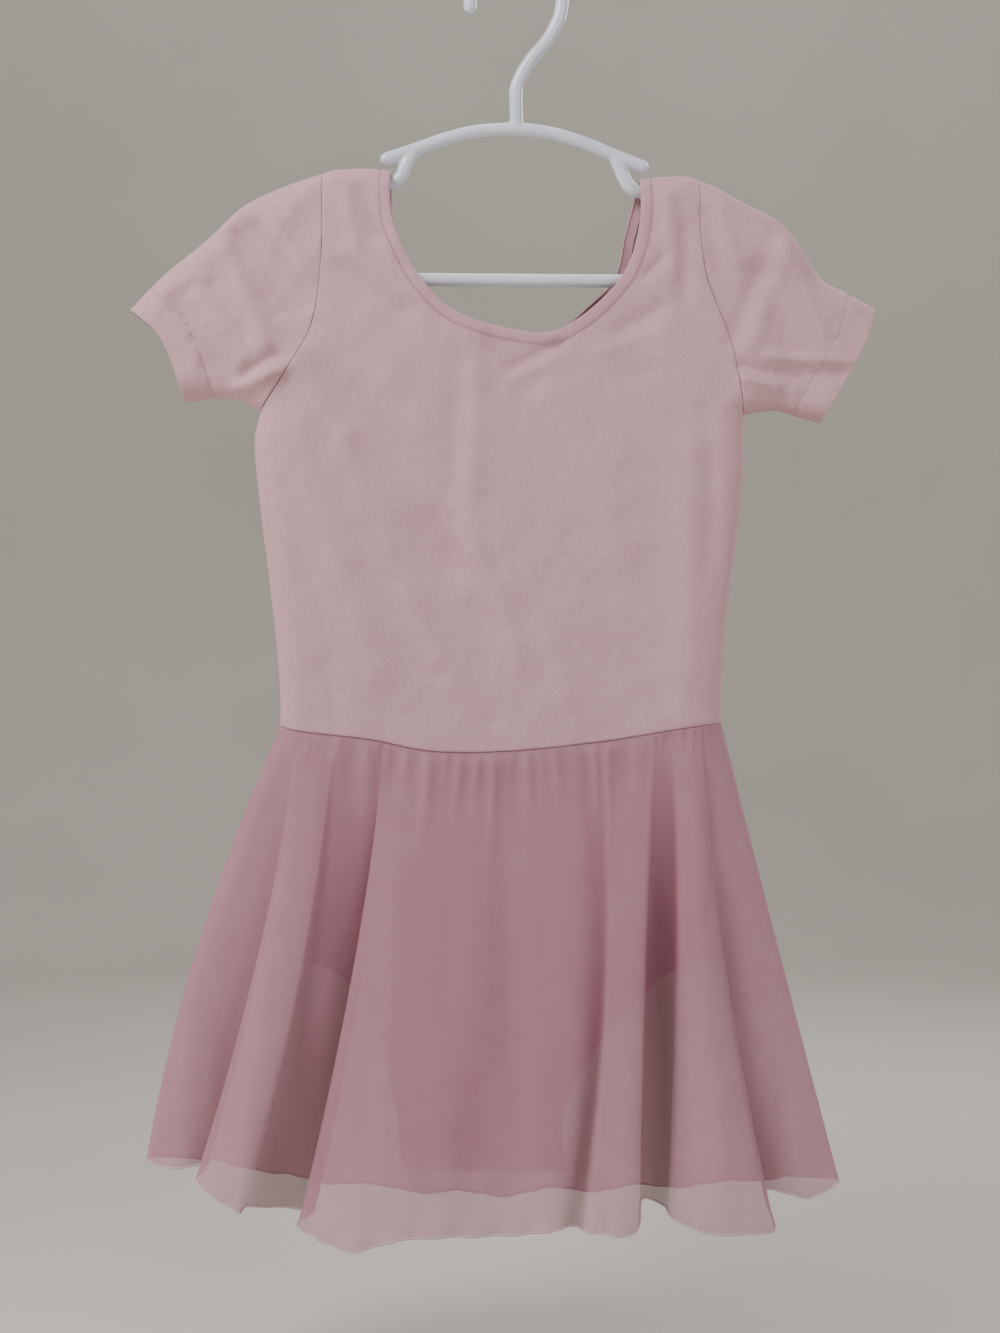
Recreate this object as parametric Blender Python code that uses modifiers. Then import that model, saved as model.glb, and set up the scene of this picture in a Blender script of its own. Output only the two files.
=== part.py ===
"""A child's ballet dress hanging flat on a plastic clothes hanger.

Metres, +Z up, the front towards -Y. The origin is the inside top of the hanger's hook.
Sizes below are in millimetres, and MM turns them into metres where a mesh is made.
"""

import math

import bmesh
import bpy
from mathutils import Vector

MM = 0.001

# Cloth
CLOTH = 1.2            # wall of every cloth piece
SEAM_GAP = 0.3         # space between two pieces that are sewn together
FOLD_HALF_GAP = 0.6    # half the space between front and back where a side seam turns over
TURN = 14.0            # how far in from a side seam or sleeve edge the cloth stops turning
TURN_STEPS = 3         # columns that make that turn
BINDING_WIDTH = 7.0
BINDING_WALL = 1.7
BINDING_PROUD = 0.3    # how far the binding stands out from the panels
BINDING_GAP = 0.85     # along the cloth, so that 0.3 stays where it turns over the shoulder
CUFF_TURN = 10.0
BRIEF_TURN = 12.4

# Hanger
TUBE_RADIUS = 3.75
TUBE_SIDES = 3         # bevel resolution, which gives ten sides
HOOK_RADIUS = 25.6     # to the middle of the tube
ARM_ROOM = 0.8         # extra space over the arms, for the flat sides of the tube

# How far front and back stand from the middle plane, by height
DEPTH_ROWS = [
    # z, depth
    (-110.0, 10.0),
    (-200.0, 10.5),
    (-300.0, 11.5),
    (-440.0, 13.0),
]

# Outlines of the flat garment, each as (x, z) points of a smooth line
SHOULDER_LEFT = [(-107.3, -118.5), (-100.0, -116.2), (-80.0, -115.6), (-69.5, -117.4)]
SHOULDER_RIGHT = [(101.4, -122.2), (95.0, -120.0), (80.0, -120.3), (68.4, -122.0)]
ARMHOLE_LEFT = [(-141.6, -250.5), (-130.0, -234.4), (-121.0, -219.5), (-113.0, -203.0),
                (-108.6, -180.7), (-106.9, -150.0), (-107.3, -118.5)]
ARMHOLE_RIGHT = [(126.0, -252.5), (122.6, -232.0), (117.8, -210.6), (110.5, -192.7),
                 (104.4, -175.0), (101.6, -150.0), (101.4, -122.2)]
SLEEVE_TOP_LEFT = [(-107.3, -118.5), (-121.0, -122.7), (-139.0, -130.0), (-153.8, -138.3),
                   (-171.8, -155.4), (-195.5, -174.8), (-214.2, -194.0)]
SLEEVE_TOP_RIGHT = [(101.4, -122.2), (112.0, -126.5), (129.0, -136.0), (146.8, -145.7),
                    (158.7, -160.0), (169.0, -176.5), (184.0, -185.0), (198.6, -193.4)]
UNDERSLEEVE_LEFT = [(-141.6, -250.5), (-148.0, -246.5), (-156.0, -243.3), (-170.0, -243.0),
                    (-183.0, -245.5)]
UNDERSLEEVE_RIGHT = [(126.0, -252.5), (135.0, -250.5), (145.3, -249.8), (157.0, -253.5),
                     (169.0, -256.7)]
CUFF_LEFT = [(-183.0, -245.5), (-188.0, -230.0), (-192.0, -219.0), (-199.0, -207.0),
             (-214.2, -194.0)]
CUFF_RIGHT = [(169.0, -256.7), (178.0, -240.0), (187.8, -223.0), (194.4, -207.6),
              (198.6, -193.4)]
SIDE_LEFT = [(-130.8, -424.5), (-131.0, -405.0), (-134.5, -365.0), (-142.0, -304.0),
             (-145.2, -268.0), (-141.6, -250.5)]
SIDE_RIGHT = [(113.9, -422.7), (114.3, -402.0), (117.5, -360.0), (123.4, -315.0),
              (126.5, -282.0), (126.0, -252.5)]
WAIST = [(-130.8, -424.5), (-118.0, -427.8), (-80.5, -432.2), (-46.4, -438.6), (-5.0, -438.6),
         (47.4, -433.3), (81.5, -427.8), (113.9, -422.7)]
NECK_FRONT = [(-69.5, -117.4), (-68.8, -141.0), (-62.3, -161.0), (-51.2, -179.6),
              (-34.9, -195.2), (-12.0, -203.6), (15.3, -208.0), (33.4, -200.9), (53.4, -182.9),
              (63.5, -166.0), (68.2, -145.0), (68.4, -122.0)]
NECK_BACK = [(-69.5, -117.4), (-69.0, -141.0), (-64.5, -170.0), (-53.0, -196.0),
             (-33.0, -215.0), (-12.0, -221.0), (12.0, -212.0), (36.0, -194.0), (55.0, -174.0),
             (61.0, -150.0), (68.4, -122.0)]

# How finely the cloth is divided
ARMHOLE_STEPS = 5      # even steps of an armhole or cuff, between its two turns
STRAP = 80.0           # length of the neckline's steep part, beside a strap
STRAP_EVEN = 3         # even rows of a strap, below its turn over the shoulder
STRAP_COLUMNS = 3
NECK_STEPS = 9         # even steps of the neckline's low part
BODICE_ROWS = 7
SLEEVE_ROWS = 7
BRIEF_STEPS = 13
LEG_STEPS = 4
BRIEF_SIDE_STEPS = 3

# Where the columns that end at the outer and inner foot of a strap start on the waist seam
LEFT_FEET = (-99.0, -54.0)
RIGHT_FEET = (92.0, 52.0)

# Soft creases of the bodice: a trough below zero, a ridge above it
CREASES_FRONT = [
    # x and z of one end, x and z of the other, height, width
    (-104.0, -232.0, -34.0, -338.0, -2.0, 11.0),
    (-122.0, -262.0, -78.0, -392.0, 2.0, 13.0),
    (-44.0, -312.0, -12.0, -372.0, -1.8, 9.0),
    (-16.0, -216.0, 8.0, -236.0, -1.5, 8.0),
    (97.0, -275.0, 93.0, -420.0, 2.2, 10.0),
    (48.0, -170.0, 70.0, -205.0, -1.4, 9.0),
]
CREASES_BACK = [
    (98.0, -238.0, 30.0, -330.0, -1.8, 12.0),
    (-100.0, -240.0, -52.0, -350.0, 1.8, 12.0),
    (-20.0, -260.0, 12.0, -350.0, -1.5, 10.0),
    (-96.0, -300.0, -92.0, -420.0, 2.0, 11.0),
]
CREASES_SLEEVES = [
    (-150.0, -150.0, -118.0, -205.0, -2.2, 9.0),
    (-176.0, -166.0, -136.0, -228.0, 2.0, 9.0),
    (-186.0, -190.0, -158.0, -232.0, -1.8, 7.0),
    (140.0, -160.0, 186.0, -192.0, 2.2, 8.0),
    (136.0, -178.0, 160.0, -240.0, -2.0, 8.0),
]

# Small gathers sewn into the waist seam, at these x
GATHERS_FRONT = [-81.0, -60.0, -47.0, -31.0, -21.0, -12.0, 6.0, 17.0, 41.0, 49.0, 66.0]
GATHERS_BACK = [-92.0, -70.0, -52.0, -34.0, -18.0, 2.0, 20.0, 38.0, 58.0, 80.0]
GATHER_HEIGHT = 1.6
GATHER_WIDTH = 5.0
GATHER_DROP = 0.09     # share of the skirt's length where a gather is highest

# The skirt's folds: where each line of the cloth lies at the waist, half way down and at the hem
FOLDS_FRONT = [
    # waist x, middle x, hem x, hem y, hem z, steps to the next row
    (-130.8, -176.0, -205.0, 0.0, -665.0, 2),
    (-128.6, -174.0, -203.0, -5.0, -665.5, 2),
    (-124.5, -165.0, -190.0, -11.5, -667.8, 3),
    (-121.0, -140.0, -170.0, -13.5, -665.7, 3),
    (-118.0, -140.5, -173.9, -27.0, -670.0, 3),
    (-110.0, -131.0, -162.5, -38.0, -676.8, 3),
    (-101.0, -117.0, -149.0, -41.0, -683.5, 3),
    (-97.0, -114.0, -144.0, -26.0, -684.8, 3),
    (-76.0, -86.0, -111.1, -20.0, -688.6, 3),
    (-71.0, -89.5, -117.1, -38.0, -692.3, 4),
    (-60.0, -72.0, -88.7, -56.0, -700.4, 4),
    (-42.0, -50.0, -59.2, -57.0, -694.0, 5),
    (-6.0, -10.0, -13.8, -51.0, -693.6, 5),
    (24.0, 28.0, 16.8, -50.0, -691.7, 4),
    (42.0, 45.0, 30.4, -41.0, -691.2, 3),
    (50.0, 51.0, 38.5, -50.0, -691.7, 4),
    (75.0, 68.0, 62.7, -48.0, -693.1, 3),
    (79.0, 71.5, 68.1, -27.0, -680.9, 3),
    (84.0, 85.0, 80.2, -22.0, -685.0, 3),
    (87.0, 88.5, 83.7, -38.0, -687.4, 3),
    (92.0, 100.0, 101.7, -49.0, -692.7, 3),
    (97.0, 109.0, 124.4, -44.0, -694.4, 3),
    (101.0, 114.5, 139.6, -30.0, -695.9, 3),
    (103.5, 114.0, 137.1, -14.0, -679.3, 3),
    (108.0, 134.0, 161.6, -11.5, -684.3, 2),
    (111.7, 144.0, 177.0, -5.0, -677.5, 2),
    (113.9, 146.0, 179.0, 0.0, -677.0, 0),
]
FOLDS_BACK = [
    (-130.8, -176.0, -205.0, 0.0, -665.0, 2),
    (-128.6, -174.0, -203.0, 5.0, -665.5, 2),
    (-123.0, -163.0, -188.0, 12.0, -668.0, 3),
    (-112.0, -148.0, -168.0, 25.0, -673.0, 3),
    (-99.0, -130.0, -146.0, 15.0, -676.0, 3),
    (-87.0, -113.0, -128.0, 31.0, -682.0, 3),
    (-73.0, -93.0, -105.0, 18.0, -684.0, 3),
    (-58.0, -72.0, -82.0, 37.0, -689.0, 4),
    (-41.0, -50.0, -55.0, 21.0, -690.0, 3),
    (-25.0, -28.0, -32.0, 38.0, -693.0, 3),
    (-8.0, -6.0, -6.0, 20.0, -692.0, 4),
    (12.0, 18.0, 22.0, 40.0, -692.0, 3),
    (29.0, 39.0, 46.0, 23.0, -690.0, 3),
    (45.0, 59.0, 68.0, 36.0, -689.0, 4),
    (60.0, 77.0, 92.0, 17.0, -686.0, 3),
    (75.0, 96.0, 116.0, 31.0, -686.0, 3),
    (89.0, 114.0, 136.0, 14.0, -682.0, 3),
    (99.0, 129.0, 153.0, 21.0, -681.0, 3),
    (107.0, 138.0, 167.0, 10.0, -679.0, 2),
    (111.7, 144.0, 177.0, 5.0, -677.5, 2),
    (113.9, 146.0, 179.0, 0.0, -677.0, 0),
]
SKIRT_ROWS = [0.0, 0.04, 0.1, 0.2, 0.32, 0.45, 0.58, 0.72, 0.86, 1.0]

# The brief, worn under the skirt: its leg edges and its crotch
CROTCH = [(-63.0, -672.0), (28.0, -673.0)]
LEG_LEFT = [(-63.0, -672.0), (-66.0, -636.0), (-75.0, -598.0), (-94.0, -565.0),
            (-122.0, -552.0)]
LEG_RIGHT = [(28.0, -673.0), (25.5, -641.0), (37.0, -614.0), (56.0, -587.0), (80.0, -564.0),
             (107.0, -551.0)]
BRIEF_SIDE_LEFT = [(-122.0, -552.0), (-126.5, -490.0), (-129.1, -427.5)]
BRIEF_SIDE_RIGHT = [(107.0, -551.0), (109.5, -490.0), (112.2, -425.7)]
BRIEF_DEPTH_TOP = 11.3
BRIEF_DEPTH_LOW = 8.0
BRIEF_LOW_FROM = -430.0  # height where the brief starts to lie flatter
BRIEF_LOW_OVER = 120.0   # over this drop
BRIEF_DROP = 1.0         # how far below the waist seam its top edge lies

# The hanger's tube, all in the middle plane
ARCH = [(-72.0, -109.9), (-57.1, -105.0), (-39.3, -98.8), (-21.5, -94.6), (0.4, -93.5),
        (20.0, -95.8), (37.8, -101.1), (55.6, -108.5), (70.0, -114.2)]
HOOK_STEM = [(0.4, -93.5), (0.0, -80.0), (0.5, -69.0), (7.8, -55.5), (17.8, -43.5),
             (24.2, -31.5)]
HOOK_END_TURN = 188.0  # degrees round from the right side, over the top
# The notched frame: from the arch down and under the shoulder, then round the arm's end
CURL_LEFT = [(-57.5, -106.0), (-61.8, -114.5), (-64.6, -120.6), (-71.0, -123.6)]
CURL_RIGHT = [(55.5, -109.5), (58.8, -118.0), (63.0, -125.4), (69.5, -128.3)]
LOOP_LEFT = [(-154.6, -156.0), (-152.8, -168.0), (-143.0, -176.3)]
LOOP_RIGHT = [(151.4, -163.0), (149.6, -171.5), (140.0, -178.3)]
ARM_LEFT = (80.0, 147.0)     # from this far out to this far the arm lies under the cloth
ARM_RIGHT = (80.0, 142.0)


def smooth_line(points, per_span=12):
    """A dense Catmull-Rom line through the points."""
    ends = [tuple(2 * a - b for a, b in zip(points[0], points[1])),
            tuple(2 * a - b for a, b in zip(points[-1], points[-2]))]
    padded = [ends[0]] + list(points) + [ends[1]]
    return spline_through(padded, [per_span] * (len(points) - 1))


def spline_through(padded, steps):
    """Catmull-Rom samples between the inner points of a padded list, so many for each span."""
    line = []
    for span, count in enumerate(steps):
        before, start, end, after = padded[span:span + 4]
        for step in range(count):
            t = step / count
            line.append(tuple(0.5 * (2 * b + (c - a) * t + (2 * a - 5 * b + 4 * c - d) * t ** 2
                                     + (3 * b - a - 3 * c + d) * t ** 3)
                              for a, b, c, d in zip(before, start, end, after)))
    line.append(tuple(padded[-2]))
    return line


def lengths_along(line):
    """Distance from the start of a line to each of its points."""
    total = [0.0]
    for start, end in zip(line, line[1:]):
        total.append(total[-1] + math.dist(start, end))
    return total


def resample(line, fractions):
    """Points of a line at given shares of its length."""
    total = lengths_along(line)
    result = []
    for fraction in fractions:
        goal = fraction * total[-1]
        index = 0
        while index < len(line) - 2 and total[index + 1] < goal:
            index += 1
        share = (goal - total[index]) / (total[index + 1] - total[index])
        result.append(tuple(a + (b - a) * share for a, b in zip(line[index], line[index + 1])))
    return result


def spaced(length, count, turn_start=False, turn_end=False, turn=TURN):
    """Shares of a length: even in the middle, closer where the cloth turns over an edge."""
    near = [turn * (1 - math.cos(math.pi / 2 * k / TURN_STEPS)) for k in range(TURN_STEPS)]
    first = turn if turn_start else 0.0
    last = length - (turn if turn_end else 0.0)
    distances = near if turn_start else []
    distances = distances + [first + (last - first) * k / count for k in range(count + 1)]
    if turn_end:
        distances = distances + [length - d for d in reversed(near)]
    return [d / length for d in distances]


def offset_line(line, distance):
    """The line moved sideways, to its left as it runs."""
    moved = []
    for index, (x, z) in enumerate(line):
        before = line[max(index - 1, 0)]
        after = line[min(index + 1, len(line) - 1)]
        dx, dz = after[0] - before[0], after[1] - before[1]
        size = math.hypot(dx, dz)
        moved.append((x - dz / size * distance, z + dx / size * distance))
    return moved


def distance_to_line(point, line):
    """Shortest distance in the middle plane from a point to a line."""
    best = math.inf
    px, pz = point
    for (ax, az), (bx, bz) in zip(line, line[1:]):
        dx, dz = bx - ax, bz - az
        t = ((px - ax) * dx + (pz - az) * dz) / (dx * dx + dz * dz)
        t = min(max(t, 0.0), 1.0)
        best = min(best, math.hypot(px - ax - dx * t, pz - az - dz * t))
    return best


# Lines where front and back meet, so that the cloth turns over
EDGES = [smooth_line(line) for line in (SHOULDER_LEFT, SHOULDER_RIGHT, SLEEVE_TOP_LEFT,
                                        SLEEVE_TOP_RIGHT, UNDERSLEEVE_LEFT, UNDERSLEEVE_RIGHT,
                                        SIDE_LEFT, SIDE_RIGHT)]


def depth_at(z):
    """Full depth of the cloth from the middle plane at a height."""
    for (z_high, deep_high), (z_low, deep_low) in zip(DEPTH_ROWS, DEPTH_ROWS[1:]):
        if z >= z_low:
            share = min(max((z_high - z) / (z_high - z_low), 0.0), 1.0)
            return deep_high + (deep_low - deep_high) * share
    return DEPTH_ROWS[-1][1]


def rounded(distance, turn=TURN):
    """From 0 on an edge to 1 where the turn ends, as a quarter of an ellipse."""
    share = min(distance / turn, 1.0)
    return math.sqrt(1 - (1 - share) ** 2)


def crease_height(point, creases):
    """Sum of the soft troughs and ridges at a point of a panel."""
    height = 0.0
    for x1, z1, x2, z2, rise, width in creases:
        away = distance_to_line(point, [(x1, z1), (x2, z2)])
        height += rise * math.exp(-(away / width) ** 2)
    return height


def cloth_depth(point, creases, on_edge=False):
    """How far the worn side of the cloth stands from the middle plane."""
    if on_edge:
        return 0.0
    away = min(distance_to_line(point, line) for line in EDGES)
    full = rounded(away)
    return full * (depth_at(point[1]) + full * crease_height(point, creases))


def shares_along(line):
    """Share of a line's length at each of its points."""
    total = lengths_along(line)
    return [length / total[-1] for length in total]


def patch(bottom, top, left, right, reach=1.0):
    """Rows of (x, z) points that fill the space between four sampled lines.

    The side lines' own shape fades out over a share of the width, which is the reach.
    """
    across = [(a + b) / 2 for a, b in zip(shares_along(bottom), shares_along(top))]
    up = [(a + b) / 2 for a, b in zip(shares_along(left), shares_along(right))]
    grid = []
    for row, v in enumerate(up):
        line = []
        for index, u in enumerate(across):
            point = []
            for axis in (0, 1):
                straight = bottom[index][axis] * (1 - v) + top[index][axis] * v
                left_end = bottom[0][axis] * (1 - v) + top[0][axis] * v
                right_end = bottom[-1][axis] * (1 - v) + top[-1][axis] * v
                left_pull = max(0.0, 1 - u / reach) * (left[row][axis] - left_end)
                right_pull = max(0.0, 1 - (1 - u) / reach) * (right[row][axis] - right_end)
                point.append(straight + left_pull + right_pull)
            line.append(tuple(point))
        grid.append(line)
    return grid


def height_on(line, x):
    """Height of a line that runs from left to right, at one x."""
    for (x1, z1), (x2, z2) in zip(line, line[1:]):
        if x <= x2:
            return z1 + (z2 - z1) * (x - x1) / (x2 - x1)
    return line[-1][1]


def material(name, color, roughness):
    """A plain Principled material."""
    made = bpy.data.materials.new(name)
    made.use_nodes = True
    shader = made.node_tree.nodes["Principled BSDF"]
    shader.inputs["Base Color"].default_value = (*color, 1.0)
    shader.inputs["Roughness"].default_value = roughness
    shader.inputs["Metallic"].default_value = 0.0
    return made


def add_object(name, mesh, finish, collection):
    """A named object with its material, shaded smooth."""
    mesh.materials.append(finish)
    mesh.shade_smooth()
    mesh.set_sharp_from_angle(angle=math.radians(50))
    made = bpy.data.objects.new(name, mesh)
    collection.objects.link(made)
    return made


def add_cloth(name, blocks, finish, collection, closed=False, flip=False, wall=CLOTH,
              proud=0.0):
    """A cloth piece: an open surface through blocks of rows of points, given its wall."""
    surface = bmesh.new()
    for rows in blocks:
        grid = [[surface.verts.new(Vector(point) * MM) for point in row] for row in rows]
        columns = len(rows[0])
        last = columns if closed else columns - 1
        for lower, upper in zip(grid, grid[1:]):
            for index in range(last):
                after = (index + 1) % columns
                corners = [lower[index], lower[after], upper[after], upper[index]]
                surface.faces.new(corners[::-1] if flip else corners)
    bmesh.ops.remove_doubles(surface, verts=surface.verts, dist=0.01 * MM)
    mesh = bpy.data.meshes.new(name)
    surface.to_mesh(mesh)
    surface.free()
    made = add_object(name, mesh, finish, collection)
    shell = made.modifiers.new("Wall", "SOLIDIFY")
    shell.thickness = wall * MM
    shell.offset = 2 * proud / wall - 1
    return made


def armhole_samples(armhole):
    """Points of an armhole seam from the underarm up, shared by the bodice and the sleeve."""
    line = smooth_line(armhole)
    return resample(line, spaced(lengths_along(line)[-1], ARMHOLE_STEPS, True, True))


def neck_samples(neck, out, shoulder_left, shoulder_right):
    """A line round the neck, a given distance out from its edge, ending on the shoulders."""
    edge = smooth_line(neck)
    line = offset_line(edge, -out)
    left_length = lengths_along(shoulder_left)[-1]
    right_length = lengths_along(shoulder_right)[-1]
    line[0] = resample(shoulder_left, [1 - out / left_length])[0]
    line[-1] = resample(shoulder_right, [1 - out / right_length])[0]
    length = lengths_along(line)[-1]
    strap = [share * STRAP / length for share in spaced(STRAP, STRAP_EVEN, True)]
    middle = 1 - 2 * strap[-1]
    low = [strap[-1] + middle * k / NECK_STEPS for k in range(1, NECK_STEPS)]
    return resample(line, strap + low + [1 - share for share in reversed(strap)])


def stand_out(point, side, creases, on_edge=False):
    """A point of the garment's flat outline moved to the front or back surface."""
    depth = FOLD_HALF_GAP + cloth_depth(point, creases, on_edge)
    return (point[0], side * depth, point[1])


def feet_under_armhole(side_x, last_x, steps):
    """Where the columns that end on an armhole start on the waist seam."""
    way = math.copysign(1.0, last_x - side_x)
    feet = [side_x + way * TURN * (1 - math.cos(math.pi / 2 * k / TURN_STEPS))
            for k in range(TURN_STEPS)]
    first = side_x + way * TURN
    even = steps - TURN_STEPS
    return feet + [first + (last_x - first) * k / even for k in range(even + 1)]


def between(start, end, count):
    """Points evenly spaced from start to end, with both."""
    return [tuple(a + (b - a) * k / count for a, b in zip(start, end))
            for k in range(count + 1)]


def shoulder_samples(shoulder, neck_out):
    """Points along a shoulder seam, from the armhole to the binding."""
    share = 1 - neck_out / lengths_along(shoulder)[-1]
    return resample(shoulder, [share * k / STRAP_COLUMNS for k in range(STRAP_COLUMNS + 1)])


def strap_rows(base, armhole, neck, shoulder, side, creases):
    """One strap of the bodice, from a line across its foot up to the shoulder."""
    flat = patch(base, shoulder, armhole, neck)
    rows = [[stand_out(point, side, creases) for point in line] for line in flat[:-1]]
    return rows + [[stand_out(point, side, creases, True) for point in flat[-1]]]


def bodice_blocks(neck, side, creases):
    """Front (side -1) or back (side 1) of the bodice: the body and its two straps."""
    shoulder_left = smooth_line(SHOULDER_LEFT)
    shoulder_right = smooth_line(SHOULDER_RIGHT)
    neck_out = BINDING_WIDTH + BINDING_GAP
    neck_line = neck_samples(neck, neck_out, shoulder_left, shoulder_right)
    arm_left = armhole_samples(ARMHOLE_LEFT)
    arm_right = armhole_samples(ARMHOLE_RIGHT)
    strap_points = TURN_STEPS + STRAP_EVEN + 1
    foot = len(arm_left) - strap_points      # armhole point where the strap starts

    base_left = between(arm_left[foot], neck_line[strap_points - 1], STRAP_COLUMNS)
    base_right = between(neck_line[-strap_points], arm_right[foot], STRAP_COLUMNS)
    low_neck = neck_line[strap_points - 1:len(neck_line) - strap_points + 1]
    top = (arm_left[:foot] + base_left + low_neck[1:-1] + base_right
           + arm_right[:foot][::-1])

    waist = smooth_line(WAIST)
    left_feet = feet_under_armhole(waist[0][0], LEFT_FEET[0], foot)
    right_feet = feet_under_armhole(waist[-1][0], RIGHT_FEET[0], foot)
    strap_left = between((LEFT_FEET[0],), (LEFT_FEET[1],), STRAP_COLUMNS)
    strap_right = between((RIGHT_FEET[1],), (RIGHT_FEET[0],), STRAP_COLUMNS)
    neck_feet = between(strap_left[-1], strap_right[0], len(low_neck) - 1)
    feet = left_feet[:-1] + [x for x, in strap_left + neck_feet[1:-1] + strap_right]
    feet = feet + right_feet[-2::-1]
    bottom = [(x, height_on(waist, x)) for x in feet]
    heights = [k / BODICE_ROWS for k in range(BODICE_ROWS + 1)]
    flat = patch(bottom, top, resample(smooth_line(SIDE_LEFT), heights),
                 resample(smooth_line(SIDE_RIGHT), heights), reach=0.3)
    body = [[stand_out(point, side, creases, index in (0, len(line) - 1))
             for index, point in enumerate(line)] for line in flat]

    over_left = shoulder_samples(shoulder_left, neck_out)
    over_right = shoulder_samples(shoulder_right, neck_out)[::-1]
    left_strap = strap_rows(base_left, arm_left[foot:], neck_line[strap_points - 1::-1],
                            over_left, side, creases)
    right_strap = strap_rows(base_right, neck_line[-strap_points:], arm_right[foot:],
                             over_right, side, creases)
    return [body, left_strap, right_strap]


def sleeve_rows(armhole, cuff, top_line, under_line, outward):
    """One sleeve as rings, from the armhole seam to the cuff."""
    arm = offset_line(armhole_samples(armhole), outward * SEAM_GAP)
    cuff_line = smooth_line(cuff)
    hem = resample(cuff_line, spaced(lengths_along(cuff_line)[-1], ARMHOLE_STEPS, True, True,
                                     turn=CUFF_TURN))
    stations = [k / SLEEVE_ROWS for k in range(SLEEVE_ROWS + 1)]
    under = [arm[0]] + resample(smooth_line(under_line), stations)[1:]
    over = [arm[-1]] + resample(smooth_line(top_line), stations)[1:]
    result = []
    for line in patch(arm, hem, under, over):
        last = len(line) - 1
        front = [(x, -cloth_depth((x, z), CREASES_FRONT + CREASES_SLEEVES, k in (0, last)), z)
                 for k, (x, z) in enumerate(line)]
        back = [(x, cloth_depth((x, z), CREASES_BACK + CREASES_SLEEVES, k in (0, last)), z)
                for k, (x, z) in enumerate(line)]
        for ring in (front, back):
            for k in range(1, last):
                x, y, z = ring[k]
                ring[k] = (x, y + math.copysign(FOLD_HALF_GAP, y), z)
        result.append(front + back[-2:0:-1])
    return result


def binding_rows():
    """The neck binding: three lines from its free edge outwards, each a ring round the neck."""
    shoulder_left = smooth_line(SHOULDER_LEFT)
    shoulder_right = smooth_line(SHOULDER_RIGHT)
    result = []
    for out in (0.0, BINDING_WIDTH / 2, BINDING_WIDTH):
        front = neck_samples(NECK_FRONT, out, shoulder_left, shoulder_right)
        back = neck_samples(NECK_BACK, out, shoulder_left, shoulder_right)
        last = len(front) - 1
        ring = [(x, -cloth_depth((x, z), CREASES_FRONT, k in (0, last)), z)
                for k, (x, z) in enumerate(front)]
        behind = [(x, cloth_depth((x, z), CREASES_BACK, k in (0, last)), z)
                  for k, (x, z) in enumerate(back)]
        for line in (ring, behind):
            for k in range(1, last):
                x, y, z = line[k]
                line[k] = (x, y + math.copysign(FOLD_HALF_GAP, y), z)
        result.append(ring + behind[-2:0:-1])
    return result


def skirt_rows(folds, side, gathers, creases):
    """Front (side -1) or back (side 1) of the skirt, from the waist seam down to the hem."""
    waist_line = smooth_line(WAIST)
    shaped = [(middle_x, hem_x, abs(hem_y), hem_z)
              for waist_x, middle_x, hem_x, hem_y, hem_z, steps in folds]
    mirrored = [(m, x, -y, z) for m, x, y, z in (shaped[1], shaped[-2])]
    padded = [mirrored[0]] + shaped + [mirrored[1]]
    counts = [row[5] for row in folds[:-1]]
    hem = spline_through(padded, counts)
    waist_x = []
    for here, after in zip(folds, folds[1:]):
        waist_x += [here[0] + (after[0] - here[0]) * k / here[5] for k in range(here[5])]
    waist_x.append(folds[-1][0])
    result = []
    for v in SKIRT_ROWS:
        row = []
        for index, (x_top, (x_middle, x_hem, y_hem, z_hem)) in enumerate(zip(waist_x, hem)):
            on_edge = index in (0, len(hem) - 1)
            z_top = height_on(waist_line, x_top) - SEAM_GAP
            y_top = cloth_depth((x_top, z_top), creases, on_edge)
            x = ((1 - v) * (1 - 2 * v) * x_top + 4 * v * (1 - v) * x_middle
                 + v * (2 * v - 1) * x_hem)
            y = y_top + (max(y_hem, 0.0) - y_top) * v
            drop = v / GATHER_DROP * math.exp(1 - v / GATHER_DROP)
            rise = sum(math.exp(-((x_top - g) / GATHER_WIDTH) ** 2) for g in gathers)
            if not on_edge:
                y += GATHER_HEIGHT * rise * drop
            row.append((x, side * (FOLD_HALF_GAP + y), z_top + (z_hem - z_top) * v))
        result.append(row)
    return result


def brief_edge(leg, side_seam, top):
    """One edge of the brief from the crotch up: along the leg, then up the side seam."""
    leg_line = smooth_line(leg)
    around = resample(leg_line, spaced(lengths_along(leg_line)[-1], LEG_STEPS, True,
                                       turn=BRIEF_TURN))
    heights = [(k + 1) / BRIEF_SIDE_STEPS for k in range(BRIEF_SIDE_STEPS - 1)]
    return around + resample(smooth_line(side_seam), heights) + [top]


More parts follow.
